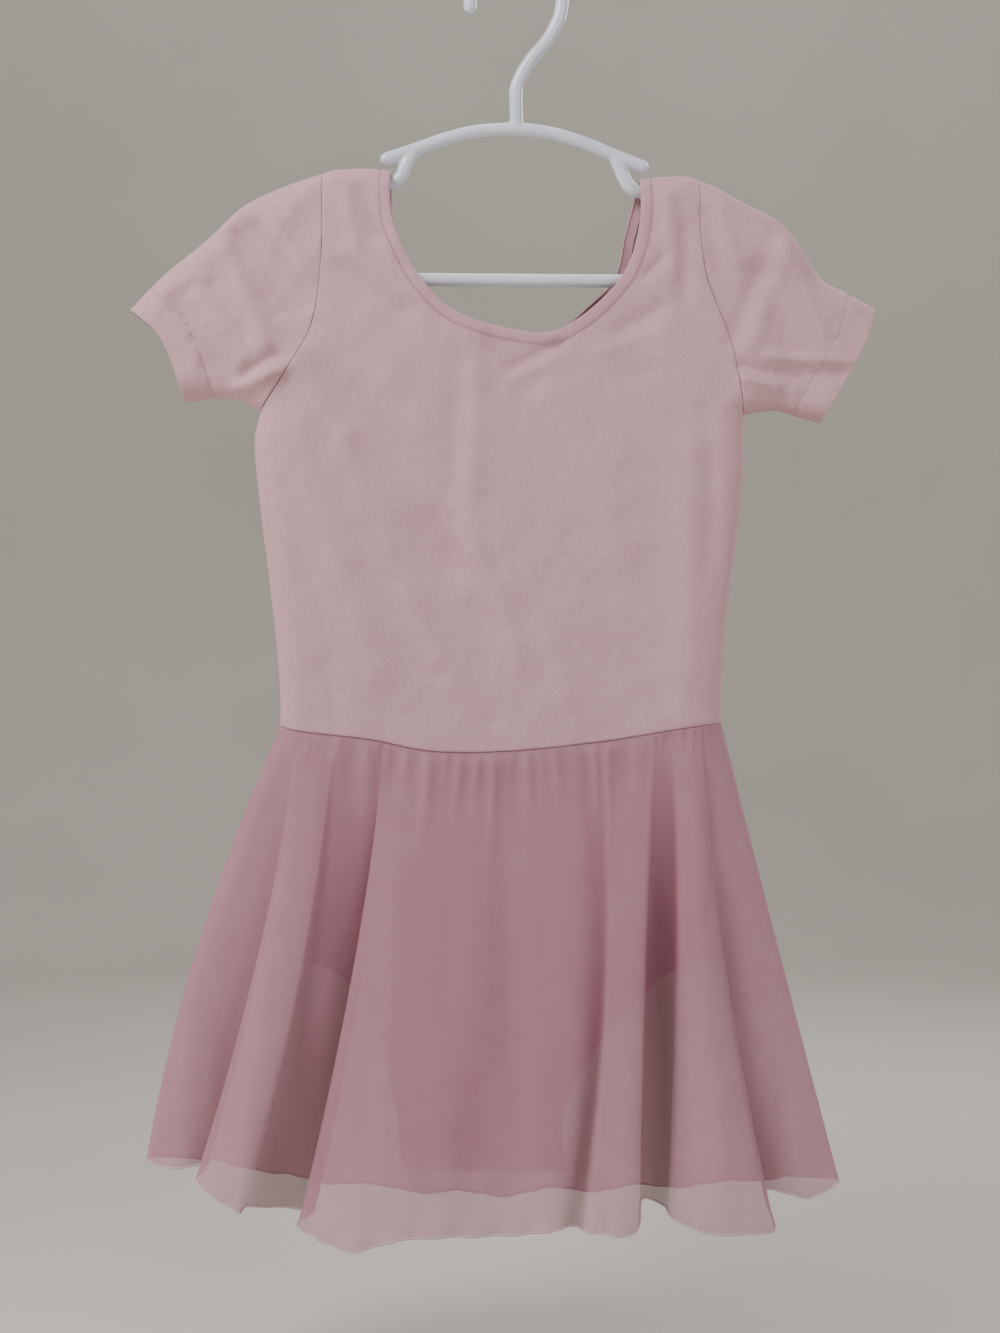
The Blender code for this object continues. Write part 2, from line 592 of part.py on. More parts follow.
def brief_rows(side):
    """Front (side -1) or back (side 1) of the brief, from its crotch up to the waist."""
    waist_line = smooth_line(WAIST)
    left_x, right_x = BRIEF_SIDE_LEFT[-1][0], BRIEF_SIDE_RIGHT[-1][0]
    across = spaced(right_x - left_x, BRIEF_STEPS, True, True, BRIEF_TURN)
    top_x = [left_x + (right_x - left_x) * share for share in across]
    top = [(x, height_on(waist_line, x) - BRIEF_DROP) for x in top_x]
    left = brief_edge(LEG_LEFT, BRIEF_SIDE_LEFT, top[0])
    right = brief_edge(LEG_RIGHT, BRIEF_SIDE_RIGHT, top[-1])
    crotch_shares = spaced(math.dist(*CROTCH), BRIEF_STEPS, True, True, BRIEF_TURN)
    flat = patch(resample(CROTCH, crotch_shares), top, left, right)
    edges = [smooth_line(BRIEF_SIDE_LEFT), smooth_line(BRIEF_SIDE_RIGHT), CROTCH]
    result = []
    for number, line in enumerate(flat):
        row = []
        beside = number >= len(flat) - BRIEF_SIDE_STEPS - 1
        for index, (x, z) in enumerate(line):
            on_edge = number == 0 or (beside and index in (0, len(line) - 1))
            away = min(distance_to_line((x, z), edge) for edge in edges)
            lower = min(max((BRIEF_LOW_FROM - z) / BRIEF_LOW_OVER, 0.0), 1.0)
            deep = BRIEF_DEPTH_TOP + (BRIEF_DEPTH_LOW - BRIEF_DEPTH_TOP) * lower
            depth = 0.0 if on_edge else deep * rounded(away, BRIEF_TURN)
            row.append((x, side * (FOLD_HALF_GAP + depth), z))
        result.append(row)
    return result


def rounded_tip(points, at_end):
    """Points and radii that close a tube with a round end."""
    end, inner = (points[-1], points[-2]) if at_end else (points[0], points[1])
    dx, dz = end[0] - inner[0], end[1] - inner[1]
    size = math.hypot(dx, dz)
    tip = []
    for angle in (30, 55, 78):
        reach = TUBE_RADIUS * math.sin(math.radians(angle)) / size
        tip.append(((end[0] + dx * reach, end[1] + dz * reach), math.cos(math.radians(angle))))
    return tip if at_end else tip[::-1]


def tube(name, points, round_start, round_end, collection):
    """A round tube along (x, z) points in the middle plane, as a welded mesh."""
    places = [(point, 1.0) for point in points]
    if round_start:
        places = rounded_tip(points, False) + places
    if round_end:
        places = places + rounded_tip(points, True)
    curve = bpy.data.curves.new(name, "CURVE")
    curve.dimensions = "3D"
    curve.bevel_depth = TUBE_RADIUS * MM
    curve.bevel_resolution = TUBE_SIDES
    curve.use_fill_caps = True
    spline = curve.splines.new("POLY")
    spline.points.add(len(places) - 1)
    for knot, ((x, z), radius) in zip(spline.points, places):
        knot.co = (x * MM, 0.0, z * MM, 1.0)
        knot.radius = radius
    line = bpy.data.objects.new(name + "_line", curve)
    collection.objects.link(line)
    bpy.context.view_layer.update()
    mesh = bpy.data.meshes.new_from_object(line.evaluated_get(
        bpy.context.evaluated_depsgraph_get()))
    shape = bmesh.new()
    shape.from_mesh(mesh)
    bmesh.ops.remove_doubles(shape, verts=shape.verts, dist=0.01 * MM)
    bmesh.ops.recalc_face_normals(shape, faces=shape.faces)
    shape.to_mesh(mesh)
    shape.free()
    made = bpy.data.objects.new(name, mesh)
    made.matrix_world = line.matrix_world
    collection.objects.link(made)
    bpy.data.objects.remove(line)
    return made


def arm_line(shoulder, sleeve_top, reach, side):
    """Middle of the tube where the cloth rests on it, from the neck outwards."""
    over = smooth_line(shoulder)[::-1] + smooth_line(sleeve_top)[1:]
    below = TUBE_RADIUS + SEAM_GAP + CLOTH + ARM_ROOM
    under = offset_line(over, -side * below)
    kept = [point for point in under if reach[0] <= side * point[0] <= reach[1]]
    return resample(kept, [k / 4 for k in range(5)])


def hook_line():
    """Stem and hook, from inside the arch up and over to the hook's free end."""
    stem = smooth_line(HOOK_STEM, 2)
    centre_z = TUBE_RADIUS - HOOK_RADIUS
    arc = []
    first = -12.0
    count = 14
    for k in range(count + 1):
        angle = math.radians(first + (HOOK_END_TURN - first) * k / count)
        arc.append((HOOK_RADIUS * math.cos(angle), centre_z + HOOK_RADIUS * math.sin(angle)))
    return stem + arc


def add_hanger(finish, collection, cutters):
    """The hanger: hook and stem, top arch, and the notched frame that carries the dress."""
    left_arm = arm_line(SHOULDER_LEFT, SLEEVE_TOP_LEFT, ARM_LEFT, -1)
    right_arm = arm_line(SHOULDER_RIGHT, SLEEVE_TOP_RIGHT, ARM_RIGHT, 1)
    left = smooth_line(CURL_LEFT + left_arm + LOOP_LEFT, 2)
    right = smooth_line(CURL_RIGHT + right_arm + LOOP_RIGHT, 2)
    frame = tube("hanger", left + right[::-1], False, False, collection)
    arch = tube("hanger_arch", smooth_line(ARCH, 2), True, True, cutters)
    hook = tube("hanger_hook", hook_line(), False, True, cutters)
    frame.data.materials.append(finish)
    for other in (arch, hook):
        other.hide_render = True
        other.display_type = "WIRE"
        joined = frame.modifiers.new("Join " + other.name, "BOOLEAN")
        joined.operation = "UNION"
        joined.object = other
    frame.data.shade_smooth()
    return frame


def main():
    """Builds the dress and its hanger."""
    for old in list(bpy.data.objects):
        bpy.data.objects.remove(old)
    parts = bpy.data.collections.new("ballet_dress")
    cutters = bpy.data.collections.new("cutters")
    bpy.context.scene.collection.children.link(parts)
    bpy.context.scene.collection.children.link(cutters)

    jersey = material("jersey", (0.58, 0.40, 0.41), 0.9)
    chiffon = material("chiffon", (0.51, 0.30, 0.36), 0.7)
    plastic = material("hanger_plastic", (0.72, 0.76, 0.85), 0.3)

    front_creases = CREASES_FRONT + CREASES_SLEEVES
    back_creases = CREASES_BACK + CREASES_SLEEVES
    add_cloth("bodice_front", bodice_blocks(NECK_FRONT, -1, front_creases), jersey, parts)
    add_cloth("bodice_back", bodice_blocks(NECK_BACK, 1, back_creases), jersey, parts,
              flip=True)
    left_rows = sleeve_rows(ARMHOLE_LEFT, CUFF_LEFT, SLEEVE_TOP_LEFT, UNDERSLEEVE_LEFT, 1)
    right_rows = sleeve_rows(ARMHOLE_RIGHT, CUFF_RIGHT, SLEEVE_TOP_RIGHT, UNDERSLEEVE_RIGHT, -1)
    add_cloth("sleeve_left", [left_rows], jersey, parts, closed=True)
    add_cloth("sleeve_right", [right_rows], jersey, parts, closed=True, flip=True)
    add_cloth("neck_binding", [binding_rows()], jersey, parts, closed=True, flip=True,
              wall=BINDING_WALL, proud=BINDING_PROUD)
    front_skirt = skirt_rows(FOLDS_FRONT, -1, GATHERS_FRONT, front_creases)
    back_skirt = skirt_rows(FOLDS_BACK, 1, GATHERS_BACK, back_creases)
    add_cloth("skirt_front", [front_skirt], chiffon, parts, flip=True)
    add_cloth("skirt_back", [back_skirt], chiffon, parts)
    add_cloth("brief_front", [brief_rows(-1)], jersey, parts)
    add_cloth("brief_back", [brief_rows(1)], jersey, parts, flip=True)
    add_hanger(plastic, parts, cutters)


main()
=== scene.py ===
"""The looks of the ballet dress and its hanger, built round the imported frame.

Sizes in the tables are millimetres in the frame's own axes, and MM turns them into metres.
"""

import math

import bmesh
import bpy
import numpy as np
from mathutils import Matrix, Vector, noise


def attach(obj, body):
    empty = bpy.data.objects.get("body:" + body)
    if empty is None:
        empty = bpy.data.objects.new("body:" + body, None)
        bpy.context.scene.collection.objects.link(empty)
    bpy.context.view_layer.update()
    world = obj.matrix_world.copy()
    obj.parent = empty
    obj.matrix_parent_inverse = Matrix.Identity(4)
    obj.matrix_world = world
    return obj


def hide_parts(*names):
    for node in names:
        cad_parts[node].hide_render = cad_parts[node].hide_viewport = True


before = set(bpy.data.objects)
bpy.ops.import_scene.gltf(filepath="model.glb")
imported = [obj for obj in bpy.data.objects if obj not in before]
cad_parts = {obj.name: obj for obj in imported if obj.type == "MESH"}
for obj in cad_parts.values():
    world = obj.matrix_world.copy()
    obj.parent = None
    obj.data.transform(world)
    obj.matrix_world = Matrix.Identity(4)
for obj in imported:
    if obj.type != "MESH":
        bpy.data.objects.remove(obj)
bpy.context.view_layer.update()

MM = 0.001
FRONT = -1
BACK = 1

# Thickness of each cloth
JERSEY = 0.7
HEM_WALL = 1.1
BINDING_WALL = 1.2
CHIFFON = 0.3

# How the cloth turns over at its edges
TURN = 14.0            # how far in from a side seam or sleeve edge the cloth stops turning
TURN_STEPS = 9
CUFF_TURN = 10.0
SIDE_GAP = 0.6         # from the middle plane, once the cloth has turned
GAP_DEPTH = 3.0        # depth of the cloth at which that gap is full

# Relief of the cloth
SEAM_ROWS = [0.0, 0.25, 0.7, 1.3, 2.1]   # distances from a seam with close rows
SEAM_DEPTH = 0.5       # how far the cloth rolls in at a seam
SEAM_WIDTH = 1.6
WAIST_SEAM_DEPTH = 0.6
HEM_STITCH = 16.0      # from a cuff's edge to its row of stitches
LEG_STITCH = 8.0       # from the brief's leg edge to its row of stitches
MOTTLE = 0.4           # height of the cloth's own unevenness
DRAPE_RISE = 0.6       # height of the long soft creases of the body
SLEEVE_DRAPE_RISE = 0.5
CREASE_RISE = 1.4      # the creases are this much crisper here than in the solids

# How finely the cloth is divided
LOW_COLUMNS = 22       # below an armhole, after its turn
HIGH_ROWS = 40         # up a strap, below its turn over the shoulder
STRAP_COLUMNS = 20
NECK_COLUMNS = 72
BINDING_COLUMNS = 90
BODY_ROWS = 84
SLEEVE_AROUND = 70
SLEEVE_ALONG = 66
SKIRT_STEPS = 96
BRIEF_ACROSS = 60
LEG_STEPS = 36
BRIEF_SIDE_STEPS = 30

# The bodice panels
STRAP = 80.0           # length of the neckline's steep part, beside a strap
FOOT_SHARE = 0.4       # share of the armhole's even stretch that lies below the strap
NECK_OUT = 6.2         # the panels reach this near to the neck's edge, under the binding
LEFT_FEET = (-99.0, -54.0)
RIGHT_FEET = (92.0, 52.0)

# Across the binding: distance out from its free edge, and how far it stands out
BINDING_PROFILE = [(0.0, -0.55), (0.12, -0.1), (0.4, 0.2), (0.9, 0.4), (1.8, 0.5), (3.4, 0.46),
                   (4.9, 0.36), (5.4, 0.24), (5.9, 0.2), (6.3, 0.26), (6.7, 0.24), (6.95, 0.05),
                   (7.05, -0.4)]
BINDING_STITCH_ROW = 8

# Hanger
TUBE_RADIUS = 3.75
HOOK_RADIUS = 25.6

# How far front and back stand from the middle plane, by height
DEPTH_Z = [-440, -300, -200, -110]
DEPTH_Y = [13, 11.5, 10.5, 10]

# Outlines of the flat garment, each as (x, z) points of a smooth line
SHOULDER_LEFT = [(-107.3, -118.5), (-100, -116.2), (-80, -115.6), (-69.5, -117.4)]
SHOULDER_RIGHT = [(101.4, -122.2), (95, -120), (80, -120.3), (68.4, -122)]
ARMHOLE_LEFT = [(-141.6, -250.5), (-130, -234.4), (-121, -219.5), (-113, -203),
                (-108.6, -180.7), (-106.9, -150), (-107.3, -118.5)]
ARMHOLE_RIGHT = [(126, -252.5), (122.6, -232), (117.8, -210.6), (110.5, -192.7),
                 (104.4, -175), (101.6, -150), (101.4, -122.2)]
SLEEVE_TOP_LEFT = [(-107.3, -118.5), (-121, -122.7), (-139, -130), (-153.8, -138.3),
                   (-171.8, -155.4), (-195.5, -174.8), (-214.2, -194)]
SLEEVE_TOP_RIGHT = [(101.4, -122.2), (112, -126.5), (129, -136), (146.8, -145.7),
                    (158.7, -160), (169, -176.5), (184, -185), (198.6, -193.4)]
UNDERSLEEVE_LEFT = [(-141.6, -250.5), (-148, -246.5), (-156, -243.3), (-170, -243),
                    (-183, -245.5)]
UNDERSLEEVE_RIGHT = [(126, -252.5), (135, -250.5), (145.3, -249.8), (157, -253.5),
                     (169, -256.7)]
CUFF_LEFT = [(-183, -245.5), (-188, -230), (-192, -219), (-199, -207),
             (-214.2, -194)]
CUFF_RIGHT = [(169, -256.7), (178, -240), (187.8, -223), (194.4, -207.6),
              (198.6, -193.4)]
SIDE_LEFT = [(-130.8, -424.5), (-131, -405), (-134.5, -365), (-142, -304),
             (-145.2, -268), (-141.6, -250.5)]
SIDE_RIGHT = [(113.9, -422.7), (114.3, -402), (117.5, -360), (123.4, -315),
              (126.5, -282), (126, -252.5)]
WAIST = [(-130.8, -424.5), (-118, -427.8), (-80.5, -432.2), (-46.4, -438.6), (-5, -438.6),
         (47.4, -433.3), (81.5, -427.8), (113.9, -422.7)]
NECK_FRONT = [(-69.5, -117.4), (-68.8, -141), (-62.3, -161), (-51.2, -179.6),
              (-34.9, -195.2), (-12, -203.6), (15.3, -208), (33.4, -200.9), (53.4, -182.9),
              (63.5, -166), (68.2, -145), (68.4, -122)]
NECK_BACK = [(-69.5, -117.4), (-69, -141), (-64.5, -170), (-53, -196),
             (-33, -215), (-12, -221), (12, -212), (36, -194), (55, -174),
             (61, -150), (68.4, -122)]

# Creases listed one by one: a trough below zero, a ridge above it
CREASES_FRONT = [
    # x and z of one end, x and z of the other, height, width
    (-104, -232, -34, -338, -2, 11),
    (-122, -262, -78, -392, 2, 13),
    (-44, -312, -12, -372, -1.8, 9),
    (-16, -216, 8, -236, -1.5, 8),
    (97, -275, 93, -420, 2.2, 10),
    (48, -170, 70, -205, -1.4, 9),
    (-120, -226, -93, -264, 1.4, 7),
    (-93, -264, -85, -306, 1.1, 9),
    (-90, -240, -39, -296, -1.1, 5),
    (-72, -234, -50, -262, 0.7, 5),
    (-21, -212, -27, -352, 1, 7),
    (-31, -222, -36, -330, -0.7, 6),
    (-4, -228, 24, -215, -1.3, 3.5),
    (-2, -233, 20, -223, 0.8, 4),
    (-95, -172, -62, -197, -1.6, 6),
    (-92, -164, -66, -186, 1, 5),
    (-86, -129, -75, -152, -1.5, 4.5),
    (-94, -134, -88, -160, 0.9, 4.5),
    (-60, -350, -34, -402, 1, 7),
    (-22, -330, 2, -392, 0.9, 6),
    (-40, -396, -14, -422, -0.9, 5),
    (54, -209, 79, -194, -1.4, 4.5),
    (46, -218, 84, -206, 0.9, 5),
    (50, -236, 74, -230, -0.8, 5),
    (71, -178, 81, -166, -1.2, 3),
    (84, -132, 86, -176, 1.2, 5),
    (94, -150, 92, -190, -1, 4),
    (104, -250, 108, -330, -1, 5),
    (20, -380, 34, -426, 0.6, 6),
    (-104, -392, -98, -424, -0.7, 5),
]
CREASES_BACK = [
    (98, -238, 30, -330, -1.8, 12),
    (-100, -240, -52, -350, 1.8, 12),
    (-20, -260, 12, -350, -1.5, 10),
    (-96, -300, -92, -420, 2, 11),
    (-88, -210, -58, -258, -0.9, 6),
    (70, -222, 44, -268, 0.9, 6),
    (96, -330, 84, -402, 1, 7),
    (52, -340, 44, -410, -0.8, 7),
    (-30, -370, -40, -424, 0.8, 7),
    (10, -232, 22, -262, 0.7, 6),
]
CREASES_SLEEVES = [
    (-150, -150, -118, -205, -2.2, 9),
    (-176, -166, -136, -228, 2, 9),
    (-186, -190, -158, -232, -1.8, 7),
    (140, -160, 186, -192, 2.2, 8),
    (136, -178, 160, -240, -2, 8),
    (-155, -154, -131, -196, -1.8, 4.5),
    (-161, -160, -137, -212, 1.5, 5),
    (-143, -150, -116, -192, -1.7, 5),
    (-134, -146, -114, -176, 1, 4.5),
    (-167, -182, -148, -210, -1.5, 4),
    (-176, -190, -152, -222, 1.2, 5),
    (-154, -240, -129, -229, 2.2, 4),
    (-150, -231, -132, -221, -1.8, 3.5),
    (-172, -228, -166, -244, -1.2, 4),
    (104, -144, 114, -174, -1.3, 4.5),
    (112, -138, 120, -168, 0.9, 5),
    (142, -152, 120, -210, -1.4, 5.5),
    (150, -160, 130, -214, 1.2, 6),
    (186, -224, 139, -222, 2, 3.5),
    (178, -232, 146, -231, -1.2, 4),
    (126, -234, 143, -238, 1.8, 3),
    (124, -226, 138, -230, -1.5, 3),
]

# The skirt's folds: where each line of the cloth lies at the waist, half way down and at the hem
FOLDS_FRONT = [
    # waist x, middle x, hem x, hem y, hem z, steps to the next row
    (-130.8, -176, -205, 0, -665, 4),
    (-128.6, -174, -203, -5, -665.5, 7),
    (-124.5, -165, -190, -11.5, -667.8, 10),
    (-121, -140, -170, -13.5, -665.7, 8),
    (-118, -140.5, -173.9, -27, -670, 8),
    (-110, -131, -162.5, -38, -676.8, 9),
    (-101, -117, -149, -41, -683.5, 9),
    (-97, -114, -144, -26, -684.8, 14),
    (-76, -86, -111.1, -20, -688.6, 10),
    (-71, -89.5, -117.1, -38, -692.3, 14),
    (-60, -72, -88.7, -56, -700.4, 14),
    (-42, -50, -59.2, -57, -694, 22),
    (-6, -10, -13.8, -51, -693.6, 18),
    (24, 28, 16.8, -50, -691.7, 10),
    (42, 45, 30.4, -41, -691.2, 8),
    (50, 51, 38.5, -50, -691.7, 14),
    (75, 68, 62.7, -48, -693.1, 9),
    (79, 71.5, 68.1, -27, -680.9, 9),
    (84, 85, 80.2, -22, -685, 9),
    (87, 88.5, 83.7, -38, -687.4, 10),
    (92, 100, 101.7, -49, -692.7, 10),
    (97, 109, 124.4, -44, -694.4, 9),
    (101, 114.5, 139.6, -30, -695.9, 9),
    (103.5, 114, 137.1, -14, -679.3, 10),
    (108, 134, 161.6, -11.5, -684.3, 8),
    (111.7, 144, 177, -5, -677.5, 4),
    (113.9, 146, 179, 0, -677, 0),
]
FOLDS_BACK = [
    (-130.8, -176, -205, 0, -665, 4),
    (-128.6, -174, -203, 5, -665.5, 7),
    (-123, -163, -188, 12, -668, 10),
    (-112, -148, -168, 25, -673, 10),
    (-99, -130, -146, 15, -676, 10),
    (-87, -113, -128, 31, -682, 11),
    (-73, -93, -105, 18, -684, 12),
    (-58, -72, -82, 37, -689, 13),
    (-41, -50, -55, 21, -690, 12),
    (-25, -28, -32, 38, -693, 13),
    (-8, -6, -6, 20, -692, 13),
    (12, 18, 22, 40, -692, 12),
    (29, 39, 46, 23, -690, 12),
    (45, 59, 68, 36, -689, 12),
    (60, 77, 92, 17, -686, 11),
    (75, 96, 116, 31, -686, 11),
    (89, 114, 136, 14, -682, 10),
    (99, 129, 153, 21, -681, 9),
    (107, 138, 167, 10, -679, 8),
    (111.7, 144, 177, 5, -677.5, 4),
    (113.9, 146, 179, 0, -677, 0),
]

# The skirt's finer form: two factors for the gathers, then lengths in millimetres
GATHER_RISE = 1.6      # the gathers rise by this many times the height in their table
GATHER_DROP = 0.5      # the gathers run down this much of the share in their table
PUCKER_RISE = 0.9      # under the waist seam
PUCKER_DROP = 9.0
SLACK_RISE = 1.5
HEM_WAVE = 21.0        # length of a wave along the hem
HEM_WAVE_RISE = 1.3
HEM_WAVE_DROP = 9.0
HEM_ROLL_RADIUS = 0.62

# Gathers at the waist seam: x, height, width, share of the skirt's length they run down
GATHERS_FRONT = [
    (-81, 1.8, 5, 0.10), (-60, 1, 4, 0.06), (-47, 1.7, 3.5, 0.09),
    (-38.5, 0.9, 2.4, 0.05), (-31, 1.5, 3, 0.08), (-21, 1.6, 3.2, 0.07),
    (-12, 1.7, 3, 0.10), (-3, 0.8, 2.2, 0.05), (6, 1.6, 3.2, 0.08),
    (13.5, 1.1, 2.5, 0.06), (21, 1, 3, 0.07), (33, 0.8, 3, 0.05),
    (42, 1.6, 2.8, 0.10), (49, 1.5, 2.8, 0.09), (66, 1, 4, 0.07),
    (-97, 1, 3.5, 0.06),
]
GATHERS_BACK = [
    (-92, 1.4, 4, 0.08), (-70, 1.5, 4.5, 0.07), (-60, 0.9, 2.5, 0.05),
    (-52, 1.5, 3.2, 0.09), (-34, 1.6, 3.4, 0.08), (-27, 0.8, 2.4, 0.05),
    (-18, 1.4, 3.2, 0.07), (2, 1.7, 3.4, 0.10), (10, 0.9, 2.6, 0.05),
    (20, 1.5, 3.2, 0.08), (38, 1.5, 3.4, 0.07), (58, 1.4, 4, 0.09),
    (80, 1.3, 4.5, 0.07),
]

# The brief under the skirt
CROTCH = [(-63, -672), (28, -673)]
LEG_LEFT = [(-63, -672), (-66, -636), (-75, -598), (-94, -565),
            (-122, -552)]
LEG_RIGHT = [(28, -673), (25.5, -641), (37, -614), (56, -587), (80, -564),
             (107, -551)]
BRIEF_SIDE_LEFT = [(-122, -552), (-126.5, -490), (-129.1, -427.5)]
BRIEF_SIDE_RIGHT = [(107, -551), (109.5, -490), (112.2, -425.7)]
BRIEF_TURN = 12.4
BRIEF_DEPTH_TOP = 11.3
BRIEF_DEPTH_LOW = 8.0
BRIEF_LOW_FROM = -430.0
BRIEF_LOW_OVER = 120.0
BRIEF_DROP = 1.0

# The hanger's tube, all in the middle plane
ARCH = [(-72, -109.9), (-57.1, -105), (-39.3, -98.8), (-21.5, -94.6), (0.4, -93.5),
        (20, -95.8), (37.8, -101.1), (55.6, -108.5), (70, -114.2)]
HOOK_STEM = [(0.4, -93.5), (0, -80), (0.5, -69), (7.8, -55.5), (17.8, -43.5),
             (24.2, -31.5)]
HOOK_END_TURN = 188.0
CURL_LEFT = [(-57.5, -106), (-61.8, -114.5), (-64.6, -120.6), (-71, -123.6)]
CURL_RIGHT = [(55.5, -109.5), (58.8, -118), (63, -125.4), (69.5, -128.3)]
LOOP_LEFT = [(-154.6, -156), (-152.8, -168), (-143, -176.3)]
LOOP_RIGHT = [(151.4, -163), (149.6, -171.5), (140, -178.3)]
ARM_LEFT = (80, 147)
ARM_RIGHT = (80, 142)
ARM_BELOW = 6.05       # from the cloth's edge line down to the middle of the arm's tube


def smooth_line(points, per_span=16):
    """A dense Catmull-Rom line through the points."""
    points = np.array(points, float)
    padded = np.vstack([2 * points[0] - points[1], points, 2 * points[-1] - points[-2]])
    return spline_through(padded, [per_span] * (len(points) - 1))


def spline_through(padded, steps):
    """Catmull-Rom samples between the inner points of a padded array, so many for each span."""
    line = []
    for span, count in enumerate(steps):
        a, b, c, d = padded[span:span + 4]
        t = (np.arange(count) / count)[:, None]
        line.append(0.5 * (2 * b + (c - a) * t + (2 * a - 5 * b + 4 * c - d) * t ** 2
                           + (3 * b - a - 3 * c + d) * t ** 3))
    line.append(padded[-2][None])
    return np.vstack(line)


def lengths_along(line):
    """Distance from the start of a line to each of its points."""
    steps = np.linalg.norm(np.diff(line, axis=0), axis=1)
    return np.concatenate([[0.0], np.cumsum(steps)])


def length_of(line):
    """Length of a line."""
    return lengths_along(line)[-1]


def resample(line, shares):
    """Points of a line at given shares of its length."""
    total = lengths_along(line)
    goals = np.asarray(shares) * total[-1]
    return np.stack([np.interp(goals, total, line[:, axis]) for axis in range(line.shape[1])],
                    axis=1)


def turn_spacing(turn):
    """Distances from an edge, close together where the cloth turns over it."""
    return turn * (1 - np.cos(np.pi / 2 * np.arange(TURN_STEPS) / TURN_STEPS))


def spaced(length, count, turn_start=False, turn_end=False, turn=TURN):
    """Shares of a length: even in the middle, closer where the cloth turns over an edge."""
    near = turn_spacing(turn)
    first = turn if turn_start else 0.0
    last = length - (turn if turn_end else 0.0)
    distances = np.linspace(first, last, count + 1)
    if turn_start:
        distances = np.concatenate([near, distances])
    if turn_end:
        distances = np.concatenate([distances, length - near[::-1]])
    return distances / length


def seamed(length, count, at_start=True, at_end=True):
    """Shares of a length: even in the middle, closer beside the seams at its ends."""
    edge = SEAM_ROWS[-1] + 1.0
    distances = np.linspace(edge if at_start else 0.0, length - (edge if at_end else 0.0),
                            count + 1)
    if at_start:
        distances = np.concatenate([SEAM_ROWS, distances])
    if at_end:
        distances = np.concatenate([distances, length - np.array(SEAM_ROWS[::-1])])
    return distances / length


def offset_line(line, distance):
    """The line moved sideways, to its left as it runs."""
    way = np.gradient(line, axis=0)
    way /= np.linalg.norm(way, axis=1)[:, None]
    return line + distance * np.stack([-way[:, 1], way[:, 0]], axis=1)


def distance_to_line(points, line):
    """Shortest distance in the middle plane from each point to a line."""
    points = np.asarray(points, float)
    best = np.full(points.shape[:-1], np.inf)
    for start, end in zip(line, line[1:]):
        way = end - start
        t = np.clip(((points - start) @ way) / (way @ way), 0.0, 1.0)
        away = np.linalg.norm(points - start - t[..., None] * way, axis=-1)
        best = np.minimum(best, away)
    return best


def distance_to_lines(points, lines):
    """Shortest distance in the middle plane from each point to any of some lines."""
    return np.min([distance_to_line(points, line) for line in lines], axis=0)


# Lines where front and back meet, so that the cloth turns over
EDGES = [smooth_line(line, 8) for line in (SHOULDER_LEFT, SHOULDER_RIGHT, SLEEVE_TOP_LEFT,
                                           SLEEVE_TOP_RIGHT, UNDERSLEEVE_LEFT,
                                           UNDERSLEEVE_RIGHT, SIDE_LEFT, SIDE_RIGHT)]
ARMHOLES = [smooth_line(ARMHOLE_LEFT, 8), smooth_line(ARMHOLE_RIGHT, 8)]
CUFFS = [smooth_line(CUFF_LEFT, 8), smooth_line(CUFF_RIGHT, 8)]
WAIST_LINE = smooth_line(WAIST)


def depth_at(z):
    """Full depth of the cloth from the middle plane at a height."""
    return np.interp(z, DEPTH_Z, DEPTH_Y)


def rounded(distance, turn=TURN):
    """From 0 on an edge to 1 where the turn ends, as a quarter of an ellipse."""
    share = np.minimum(distance / turn, 1.0)
    return np.sqrt(1 - (1 - share) ** 2)


def crease_height(points, creases):
    """Sum of the soft troughs and ridges, each fading along its length."""
    height = np.zeros(points.shape[:-1])
    for x1, z1, x2, z2, rise, width in creases:
        away = distance_to_line(points, np.array([(x1, z1), (x2, z2)]))
        height += rise * np.exp(-(away / width) ** 2)
    return height


def unevenness(points, size, seed):
    """Smooth noise from -1 to 1 whose bumps are about so many millimetres across."""
    flat = points.reshape(-1, 2) / size
    values = [noise.noise(Vector((x, z, seed))) for x, z in flat]
    return np.array(values).reshape(points.shape[:-1]) * 2.0


def drape(points, lean, across, along, seed):
    """Soft creases that run at a lean from the vertical, so wide and so long, from -1 to 1."""
    turn = math.radians(lean)
    x, z = points[..., 0], points[..., 1]
    beside = (x * math.cos(turn) - z * math.sin(turn)) / across
    down = (x * math.sin(turn) + z * math.cos(turn)) / along
    value = unevenness(np.stack([beside, down], axis=-1), 1.0, seed)
    return 1.0 - 2.2 * np.abs(value)


def roll_in(away, depth=SEAM_DEPTH, width=SEAM_WIDTH):
    """How far a seam pulls the cloth in beside it."""
    return depth * (1 - rounded(away, width))


def with_gap(depth):
    """The depth with the gap that keeps front and back apart, which opens beside an edge."""
    return depth + SIDE_GAP * np.minimum(1.0, depth / GAP_DEPTH)


def cloth_depth(points, creases, seed=1.0, seams=()):
    """How far the worn side of the cloth stands from the middle plane."""
    points = np.asarray(points, float)
    full = rounded(distance_to_lines(points, EDGES))
    relief = CREASE_RISE * crease_height(points, creases)
    relief += MOTTLE * unevenness(points, size=21.0, seed=seed)
    relief += 0.4 * MOTTLE * unevenness(points, size=8.0, seed=seed)
    relief += DRAPE_RISE * drape(points, lean=28.0 * seed, across=44.0, along=140.0, seed=30.0 + seed)
    for line in ARMHOLES:
        relief -= roll_in(distance_to_line(points, line))
    for line, depth in seams:
        relief -= roll_in(distance_to_line(points, line), depth)
    return with_gap(full * (depth_at(points[..., 1]) + full * relief))


def shares_along(line):
    """Share of a line's length at each of its points."""
    total = lengths_along(line)
    return total / total[-1]


